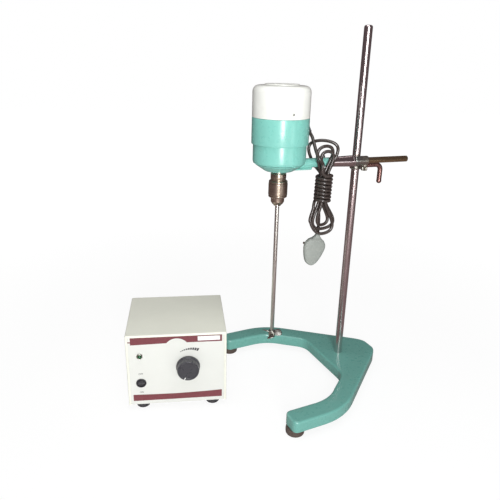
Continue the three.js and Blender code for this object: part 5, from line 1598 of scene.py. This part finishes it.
def build_impeller(sizes):
    """A turned hub with a grub screw, and three pitched blades with round corners."""
    node = Node("impeller")
    hub_radius, hub_height, bore, edge = 7 * MM, 14 * MM, SHAFT_RADIUS + CLEARANCE, 0.8 * MM
    blades, reach, half_width = 3, 22 * MM, 8.5 * MM
    pitch, first = math.radians(32), math.radians(60)
    middle = node.bottom + hub_height / 2
    parts = [bored(hub_radius, bore, node.bottom, node.bottom + hub_height, edge, edge)]
    for index in range(blades):
        blade = impeller_blade(sizes, hub_radius, reach, half_width)
        spin = first + FULL_TURN * index / blades
        parts.append(moved(blade, place(0, 0, middle) @ turn(spin, "Z") @ turn(pitch, "X")))
    grub_radius, grub_rise = 1.6 * MM, 4.4 * MM
    grub = cylinder(grub_radius, hub_radius - 1 * MM, hub_radius + 0.5 * MM, 0, EASED, SMALL_SIDES)
    parts.append(moved(grub, place(0, 0, middle + grub_rise) @ turn(ARM_TURN, "Z") @ turn(QUARTER_TURN, "X")))
    matrix = MOTOR @ turn(ARM_TURN, "Z")
    piece("impeller_blades", joined(*parts), "stirrer", "impeller", matrix, ["impeller"])


# Regulator


def build_case(sizes):
    """The folded cover: its sheet follows an arch across the box and turns in at the front."""
    depth, sheet, bend, lip = CASE.size.y, sizes.sheet, sizes.bend, sizes.lip
    section = softened([
        (lip, 0, EASED),
        (0, 0, bend),
        (0, depth, EASED),
        (sheet, depth, EASED),
        (sheet, sheet, bend - sheet),
        (lip, sheet, EASED),
    ], steps=6)
    bm = bmesh.new()
    rings = [[bm.verts.new((x, back, z)) for x, z in arch(drawn, bend)] for drawn, back in section]
    skin(bm, rings, closed_ring=False, closed_way=True)
    bm.faces.new([ring[0] for ring in rings])
    bm.faces.new([ring[-1] for ring in reversed(rings)])
    piece(
        "folded_cover", cleaned(bm), "stand_and_regulator", "cream", CASE_CORNER,
        ["regulator_cover"],
    )
    keep("cream", "regulator_chassis")
    keep("panel", "regulator_panel")
    stand = bpy.context.scene.stirrer_stand
    for index in range(4):
        build_foot(f"regulator_foot_{index + 1}", Node("regulator_chassis").bottom, stand, "box_foot")
    build_socket()
    build_inlet()


def arch(drawn, bend):
    """The cover's line across the box, drawn in by a distance: up one side, over and down the other."""
    width, height = CASE.size.x, CASE.size.z
    steps = ROUND_STEPS + 2
    radius = bend - drawn
    line = [(drawn, 0)]
    for corner, side in ((bend, 1), (width - bend, -1)):
        for k in range(steps + 1):
            angle = QUARTER_TURN * k / steps
            if side < 0:
                angle = QUARTER_TURN - angle
            out, up = (math.cos(angle), math.sin(angle)) if radius > 0 else (1, 1)
            line.append((corner - side * radius * out, height - bend + radius * up))
    line.append((width - drawn, 0))
    return line


def on_panel(name, points, sizes, finish, lift=1):
    """A flat printed shape on the panel, from points across and up from the case's lower left corner, in
    millimetres. lift thickens it, so that it lies over another."""
    outline = [Vector((x * MM, z * MM)) for x, z in points]
    bm = slab(outline, 0, sizes.print_depth * lift)
    return piece(name, bm, "stand_and_regulator", finish, PANEL_FRONT)


def arc(centre, radius, start, end, steps):
    """Points of an arc, from a start to an end in degrees."""
    angles = [math.radians(lerp(start, end, k / steps)) for k in range(steps + 1)]
    return [(centre[0] + radius * math.cos(a), centre[1] + radius * math.sin(a)) for a in angles]


def build_print(sizes):
    """The bands, the growing arc of marks over the knob, and the switch's two captions."""
    build_bands(sizes)
    build_speed_marks(sizes)
    switch = Node("switch_body").middle - CASE.low
    for word, rise in (("OFF", 20.5 * MM), ("ON", -21.5 * MM)):
        build_caption(word, switch.x, switch.z + rise, sizes)


def build_bands(sizes):
    """The upper band with a dome in its lower edge and a short line beside it, the lower band and a bare
    label, all in millimetres from the case's lower left corner."""
    left, right, top = 9.5, 185, 151
    dome_foot, dome_half, dome_rise, dome_steps = 136.4, 19.5, 9.6, 20
    radius = (dome_half**2 + dome_rise**2) / 2 / dome_rise
    spread = math.degrees(math.asin(dome_half / radius))
    centre = ((left + right) / 2, dome_foot + dome_rise - radius)
    dome = arc(centre, radius, 90 - spread, 90 + spread, dome_steps)
    upper = [(right, top), (right, 136), *dome, (left, 135), (left, top)]
    line = [(2.5, 140.5), (left, 139.5), (left, 142), (2.5, 142)]
    lower = [(left, 8), (right, 8), (right, 24), (150, 22.4), (97, 21), (50, 21.6), (left, 22.7)]
    on_panel("upper_band", upper, sizes, "band")
    on_panel("upper_line", line, sizes, "band")
    on_panel("lower_band", lower, sizes, "band")
    label = rounded_rectangle(138, 181, 139.2, 148.6, 0.6)
    on_panel("blank_label", label, sizes, "label", lift=1.8)


def build_speed_marks(sizes):
    """Marks on an arc over the knob, each taller than the one before it."""
    knob = Node("speed_knob").middle - CASE.low
    centre = (knob.x / MM, knob.z / MM)
    marks, steps = 9, 3
    for k in range(marks):
        share = k / (marks - 1)
        degrees = lerp(112, 62, share)
        half_height = lerp(0.6, 3.2, share)
        radius = lerp(36, 41.2, share)
        half_width = lerp(2.2, 2.4, share)
        inner = arc(centre, radius - half_height, degrees - half_width, degrees + half_width, steps)
        outer = arc(centre, radius + half_height, degrees + half_width, degrees - half_width, steps)
        on_panel(f"speed_mark_{k + 1}", [*outer, *inner], sizes, "ink")


def build_caption(word, x, z, sizes):
    """A word printed on the panel, centred on a place."""
    name = "caption_" + word.lower()
    text = bpy.data.curves.new(name, "FONT")
    text.body = word
    text.size = sizes.caption
    text.align_x = "CENTER"
    text.align_y = "CENTER"
    text.extrude = sizes.print_depth / 2
    helper = linked("caption_helper", text)
    graph = bpy.context.evaluated_depsgraph_get()
    mesh = bpy.data.meshes.new_from_object(helper.evaluated_get(graph))
    bm = bmesh.new()
    bm.from_mesh(mesh)
    bpy.data.objects.remove(helper)
    bpy.data.meshes.remove(mesh)
    matrix = PANEL_FRONT @ place(x, z, sizes.print_depth / 2)
    piece(name, bm, "stand_and_regulator", "ink", matrix)


def build_controls(sizes):
    build_knob(sizes)
    keep("steel", "speed_shaft")
    build_switch()
    build_rocker()
    build_pilot_lamp()


def build_knob(sizes):
    """The fluted speed knob on its skirt, dished in front, and its white pointer."""
    knob = Node("speed_knob")
    back = PANEL.low.y - knob.high.y
    front = PANEL.low.y - knob.low.y
    skirt, face = knob.size.x / 2, 21.4 * MM
    fade, levels = 1 * MM, 8
    low, high = back + 5.5 * MM, front - 2.2 * MM
    collar_bore, collar_depth = 5.4 * MM, back + 3.4 * MM
    shaft_bore, shaft_depth = 3.3 * MM, back + 10 * MM

    def fluted(angle, radius, z):
        inside = smoothstep(z, low, low + fade) * smoothstep(-z, -high, fade - high)
        outer = 1 if radius > face - 1.2 * MM else 0
        return -outer * inside * sizes.flute * (0.5 + 0.5 * math.cos(angle * sizes.flutes))

    bm = lathe([
        (collar_bore, back),
        (skirt, back, 0.4 * MM),
        (skirt, back + 2.2 * MM, 1 * MM),
        (face + 1.6 * MM, back + 4 * MM, 1 * MM),
        (face + 0.4 * MM, low),
        *[(face, lerp(low, high, k / levels)) for k in range(1, levels)],
        (face - 0.2 * MM, high),
        (face - 0.4 * MM, front, 1.6 * MM),
        (face - 3.4 * MM, front, 0.7 * MM),
        (face - 4.6 * MM, front - 1.1 * MM, 0.7 * MM),
        (0, front - 0.7 * MM),
        (0, shaft_depth),
        (shaft_bore, shaft_depth),
        (shaft_bore, collar_depth),
        (collar_bore, collar_depth),
    ], sides=sizes.flutes * 8, ripple=fluted)
    matrix = out_of_panel(knob)
    piece("fluted_knob", bm, "knob", "knob", matrix, ["speed_knob"])
    pointer_half, pointer_turn = 0.7 * MM, math.radians(-112)
    outline = rounded_rectangle(face - 6.2 * MM, face - 1 * MM, -pointer_half, pointer_half, 0.5 * MM)
    pointer = slab(outline, front - 0.4 * MM, front + 0.12 * MM)
    piece("knob_pointer", pointer, "knob", "label", matrix @ turn(pointer_turn, "Z"))


def build_switch():
    """The round bezel of the power switch, with its body behind the panel."""
    switch = Node("switch_body")
    proud = PANEL.low.y - switch.low.y
    behind = PANEL.low.y - switch.high.y
    body, flange, opening, floor = 8.8 * MM, 10 * MM, 7.8 * MM, proud - 9 * MM
    bm = lathe([
        (0, behind),
        (body, behind),
        (body, CLEARANCE),
        (flange, CLEARANCE, EASED),
        (flange, proud * 0.55, 1 * MM),
        (8.6 * MM, proud, 0.6 * MM),
        (7.9 * MM, proud - 0.5 * MM, EASED),
        (opening, floor),
        (0, floor),
    ])
    matrix = out_of_panel(switch)
    piece("switch_bezel", bm, "stand_and_regulator", "black", matrix, ["switch_body"])


def build_rocker():
    """A round rocker: a disc whose face falls away above and below, tilted to one side."""
    node = Node("power_rocker")
    radius, thickness, rise, edge = 7.1 * MM, 5 * MM, 2.2 * MM, 0.5 * MM
    steps, tilt = 12, math.radians(8)
    bm = bmesh.new()
    rings = []
    for step in range(steps + 1):
        share = step / steps
        ring = []
        for k in range(SMALL_SIDES):
            angle = FULL_TURN * k / SMALL_SIDES
            x, z = radius * share * math.cos(angle), radius * share * math.sin(angle)
            away = abs(z) / radius
            out = rise * (1 - away) ** 1.6 + 0.5 * rise * away**2
            ring.append(bm.verts.new((x, edge * smoothstep(share, 0.86, 1) - out, z)))
        rings.append(ring)
    rings.append([bm.verts.new((v.co.x, thickness, v.co.z)) for v in rings[-1]])
    skin(bm, rings)
    bm.faces.new(rings[-1])
    cleaned(bm)
    pivot = place(node.middle.x, PANEL.low.y - 1.2 * MM, Node("switch_body").middle.z)
    piece("round_rocker", bm, "rocker", "black", pivot @ turn(tilt, "X"), ["power_rocker"])


def build_pilot_lamp():
    """The lamp's plated bezel and its domed lens."""
    bezel, lens = Node("pilot_bezel"), Node("pilot_lens")
    proud = PANEL.low.y - bezel.low.y
    bore, body, flange, body_end = 3.9 * MM, 4.6 * MM, 6 * MM, -7 * MM
    bm = lathe([
        (bore, body_end),
        (body, body_end),
        (body, CLEARANCE),
        (flange, CLEARANCE, EASED),
        (flange, proud * 0.5, 0.8 * MM),
        (4.9 * MM, proud, 0.5 * MM),
        (bore, proud, EASED),
    ], SMALL_SIDES)
    matrix = out_of_panel(bezel)
    piece("lamp_bezel", bm, "stand_and_regulator", "nickel", matrix, ["pilot_bezel"])
    top = PANEL.low.y - lens.low.y
    bottom = PANEL.low.y - lens.high.y
    radius, rise, steps = 3.6 * MM, 2.4 * MM, 8
    angles = [QUARTER_TURN * k / steps for k in range(steps + 1)]
    dome = [(radius * math.cos(a), top - rise + rise * math.sin(a)) for a in angles]
    bm = lathe([(0, bottom), (radius, bottom), *dome], SMALL_SIDES)
    matrix = out_of_panel(lens)
    piece("lamp_dome", bm, "stand_and_regulator", "lamp", matrix, ["pilot_lens"])


def build_socket():
    """The motor's round socket on the back, with a ring round each of its three contacts."""
    socket = Node("motor_socket")
    matrix = out_of_back(socket)
    proud = socket.high.y - CASE.high.y
    radius, body, body_end, face = socket.size.x / 2, 11.5 * MM, proud - 18 * MM, proud - 1.6 * MM
    bm = lathe([
        (0, body_end),
        (body, body_end),
        (body, CLEARANCE),
        (radius, CLEARANCE, EASED),
        (radius, proud, 0.8 * MM),
        (radius - 3 * MM, proud, 0.4 * MM),
        (radius - 3.6 * MM, face, 0.4 * MM),
        (0, face),
    ])
    piece("round_socket", bm, "stand_and_regulator", "black", matrix, ["motor_socket"])
    contacts, circle, bore, rim = 3, 5.5 * MM, 1.5 * MM, 2.6 * MM
    inner, outer = proud - 3 * MM, proud - 1.2 * MM
    rims = []
    for k in range(contacts):
        ring = bored(rim, bore, inner, outer, 0, EASED, SMALL_SIDES)
        rims.append(moved(ring, turn(FULL_TURN * k / contacts, "Z") @ place(circle, 0, 0)))
    piece("socket_contacts", joined(*rims), "stand_and_regulator", "brass", matrix)


def build_inlet():
    """The mains inlet on the back: its CAD solid, and three flat blades in it."""
    inlet = Node("mains_inlet")
    keep("black", "mains_inlet")
    half_width, half_height, inside, outside = 1 * MM, 2 * MM, -9 * MM, 1 * MM
    blades = []
    for x, z in ((-7 * MM, 2 * MM), (0, -3 * MM), (7 * MM, 2 * MM)):
        low = (x - half_width, inside, z - half_height)
        high = (x + half_width, outside, z + half_height)
        blades.append(brick(low, high, EASED))
    matrix = place(inlet.middle.x, CASE.high.y, inlet.middle.z)
    piece("inlet_blades", joined(*blades), "stand_and_regulator", "brass", matrix)


def build_inner():
    """Finishes for the pieces inside the motor and the box."""
    keep("steel", "spindle", "lower_bearing", "upper_bearing", "end_frame")
    keep("laminated", "stator_core", "armature", "heat_sink")
    keep("copper", "field_winding", "commutator")
    keep("brass", "brush_holder_front", "brush_holder_back")
    keep("black", "cooling_fan")
    keep("nickel", "speed_control")
    keep("board", "control_board")


# Studio

WHITE = (1, 1, 1)
LIT_MIDDLE = Vector((0, 0, 0.35))


def lamp(name, watts, size, at):
    """A rectangular lamp that shines on the object's middle."""
    data = bpy.data.lights.new(name, "AREA")
    data.shape = "RECTANGLE"
    data.size, data.size_y = size
    data.energy = watts
    at = Vector(at)
    to_middle = (LIT_MIDDLE - at).to_track_quat("-Z", "Y").to_matrix().to_4x4()
    linked(name, data).matrix_world = Matrix.Translation(at) @ to_middle


def build_world(settings):
    """White to the camera, a soft level as light on the object, and dark in metal and gloss."""
    world = bpy.data.worlds.new("studio")
    bpy.context.scene.world = world
    tree = Tree(world)
    mirrored = tree.add("ShaderNodeLightPath", out="Is Glossy Ray")
    around = tree.mix(mirrored, (settings.ambient,) * 3, settings.mirrored)
    seen = tree.add("ShaderNodeLightPath", out="Is Camera Ray")
    seen_through = tree.add("ShaderNodeLightPath", out="Is Transmission Ray")
    either = tree.add("ShaderNodeMath", {"operation": "MAXIMUM"}, {0: seen, 1: seen_through})
    light = tree.add("ShaderNodeBackground", {}, {"Color": around})
    backdrop = tree.add("ShaderNodeBackground", {}, {"Color": WHITE})
    mixed = tree.add("ShaderNodeMixShader", {}, {0: either, 1: light, 2: backdrop})
    tree.show("ShaderNodeOutputWorld", mixed)


def build_floor(settings):
    """A pale floor that keeps the shadow, and runs out to plain white away from the object. Its reach and
    the distances where it starts and ends to turn white are in metres."""
    reach, pale_until, white_from = 6, 0.55, 1.6
    whitened, glow_strength = 0.85, 1.04
    corners = [(-reach, -reach, 0), (reach, -reach, 0), (reach, reach, 0), (-reach, reach, 0)]
    data = bpy.data.meshes.new("floor")
    data.from_pydata(corners, [], [(0, 1, 2, 3)])
    material = bpy.data.materials.new("floor")
    tree = Tree(material)
    mirrored = tree.add("ShaderNodeLightPath", out="Is Glossy Ray")
    tint = tree.mix(mirrored, settings.floor, settings.floor_mirrored)
    diffuse = tree.add("ShaderNodeBsdfDiffuse", {}, {"Color": tint})
    glow = tree.add("ShaderNodeEmission", {}, {"Color": WHITE, "Strength": glow_strength})
    here = tree.add("ShaderNodeTexCoord", out="Object")
    away = tree.add("ShaderNodeVectorMath", {"operation": "LENGTH"}, {0: here}, out="Value")
    seen = tree.add("ShaderNodeLightPath", out="Is Camera Ray")
    share = tree.between(away, pale_until, white_from, whitened, 1.0) * seen
    mixed = tree.add("ShaderNodeMixShader", {}, {0: share, 1: diffuse, 2: glow})
    tree.show("ShaderNodeOutputMaterial", mixed)
    data.materials.append(material)
    linked("floor", data)


def build_studio(settings):
    lamp("key_lamp", settings.key, size=(0.55, 1.5), at=(-0.02, -2.3, 0.83))
    lamp("top_lamp", settings.fill, size=(1.4, 1.0), at=(-0.2, -0.3, 2.0))
    lamp("side_lamp", settings.side, size=(0.6, 0.5), at=(1.35, -1.7, 0.27))
    build_world(settings)
    build_floor(settings)
    bpy.context.scene.view_settings.view_transform = "Standard"


# Operators


class STIRRER_OT_camera(bpy.types.Operator):
    """Adds the camera at the photograph's view"""

    bl_idname = "stirrer.camera"
    bl_label = "Camera"

    def execute(self, context):
        build_camera()
        return {"FINISHED"}


class STIRRER_OT_finishes(bpy.types.Operator):
    """Makes every finish from its colour"""

    bl_idname = "stirrer.finishes"
    bl_label = "Finishes"

    def execute(self, context):
        make_finishes(context.scene.stirrer_colours)
        return {"FINISHED"}


class STIRRER_OT_cord(bpy.types.Operator):
    """Adds the mains lead in its hank, with its gland and plug"""

    bl_idname = "stirrer.cord"
    bl_label = "Mains lead"

    def execute(self, context):
        build_cord(context.scene.stirrer_cord)
        return {"FINISHED"}


class STIRRER_OT_stand(bpy.types.Operator):
    """Adds the base casting, its feet and the upright rod"""

    bl_idname = "stirrer.stand"
    bl_label = "Stand"

    def execute(self, context):
        build_stand(context.scene.stirrer_stand)
        return {"FINISHED"}


class STIRRER_OT_clamp(bpy.types.Operator):
    """Adds the clamp block, its screws, the arm rod and the tapered sleeve"""

    bl_idname = "stirrer.clamp"
    bl_label = "Clamp and arm"

    def execute(self, context):
        build_clamp(context.scene.stirrer_clamp)
        return {"FINISHED"}


class STIRRER_OT_motor(bpy.types.Operator):
    """Adds the motor's cap, shells, bracket and screws"""

    bl_idname = "stirrer.motor"
    bl_label = "Motor"

    def execute(self, context):
        build_motor(context.scene.stirrer_motor)
        return {"FINISHED"}


class STIRRER_OT_chuck(bpy.types.Operator):
    """Adds the chuck, the stirring shaft and the impeller"""

    bl_idname = "stirrer.chuck"
    bl_label = "Chuck and stirrer"

    def execute(self, context):
        build_chuck(context.scene.stirrer_chuck)
        return {"FINISHED"}


class STIRRER_OT_case(bpy.types.Operator):
    """Adds the regulator's cover, feet and back"""

    bl_idname = "stirrer.case"
    bl_label = "Regulator case"

    def execute(self, context):
        build_case(context.scene.stirrer_regulator)
        return {"FINISHED"}


class STIRRER_OT_panel(bpy.types.Operator):
    """Adds the printed bands and marks on the regulator's front"""

    bl_idname = "stirrer.panel"
    bl_label = "Panel print"

    def execute(self, context):
        build_print(context.scene.stirrer_regulator)
        return {"FINISHED"}


class STIRRER_OT_controls(bpy.types.Operator):
    """Adds the speed knob, the power switch and the pilot lamp"""

    bl_idname = "stirrer.controls"
    bl_label = "Controls"

    def execute(self, context):
        build_controls(context.scene.stirrer_regulator)
        return {"FINISHED"}


class STIRRER_OT_inner(bpy.types.Operator):
    """Gives the pieces inside the motor and the box their finishes"""

    bl_idname = "stirrer.inner"
    bl_label = "Inner pieces"

    def execute(self, context):
        build_inner()
        return {"FINISHED"}


class STIRRER_OT_stage(bpy.types.Operator):
    """Adds the floor, the lamps and the world"""

    bl_idname = "stirrer.stage"
    bl_label = "Studio"

    def execute(self, context):
        build_studio(context.scene.stirrer_studio)
        return {"FINISHED"}


OPERATORS = [
    STIRRER_OT_camera,
    STIRRER_OT_finishes,
    STIRRER_OT_cord,
    STIRRER_OT_stand,
    STIRRER_OT_clamp,
    STIRRER_OT_motor,
    STIRRER_OT_chuck,
    STIRRER_OT_case,
    STIRRER_OT_panel,
    STIRRER_OT_controls,
    STIRRER_OT_inner,
    STIRRER_OT_stage,
]


class STIRRER_PT_panel(bpy.types.Panel):
    """Lists the steps that make the stirrer, in order"""

    bl_idname = "STIRRER_PT_panel"
    bl_label = "Laboratory stirrer"
    bl_space_type = "VIEW_3D"
    bl_region_type = "UI"
    bl_category = "Stirrer"

    def draw(self, context):
        for operator in OPERATORS:
            self.layout.operator(operator.bl_idname)


def register():
    for settings in SETTINGS.values():
        bpy.utils.register_class(settings)
    for name, settings in SETTINGS.items():
        setattr(bpy.types.Scene, name, bpy.props.PointerProperty(type=settings))
    for operator in OPERATORS:
        bpy.utils.register_class(operator)
    bpy.utils.register_class(STIRRER_PT_panel)


def unregister():
    bpy.utils.unregister_class(STIRRER_PT_panel)
    for operator in reversed(OPERATORS):
        bpy.utils.unregister_class(operator)
    for name in SETTINGS:
        delattr(bpy.types.Scene, name)
    for settings in reversed(SETTINGS.values()):
        bpy.utils.unregister_class(settings)


def main():
    register()
    for operator in OPERATORS:
        group, step = operator.bl_idname.split(".")
        getattr(getattr(bpy.ops, group), step)()


if __name__ == "__main__":
    main()
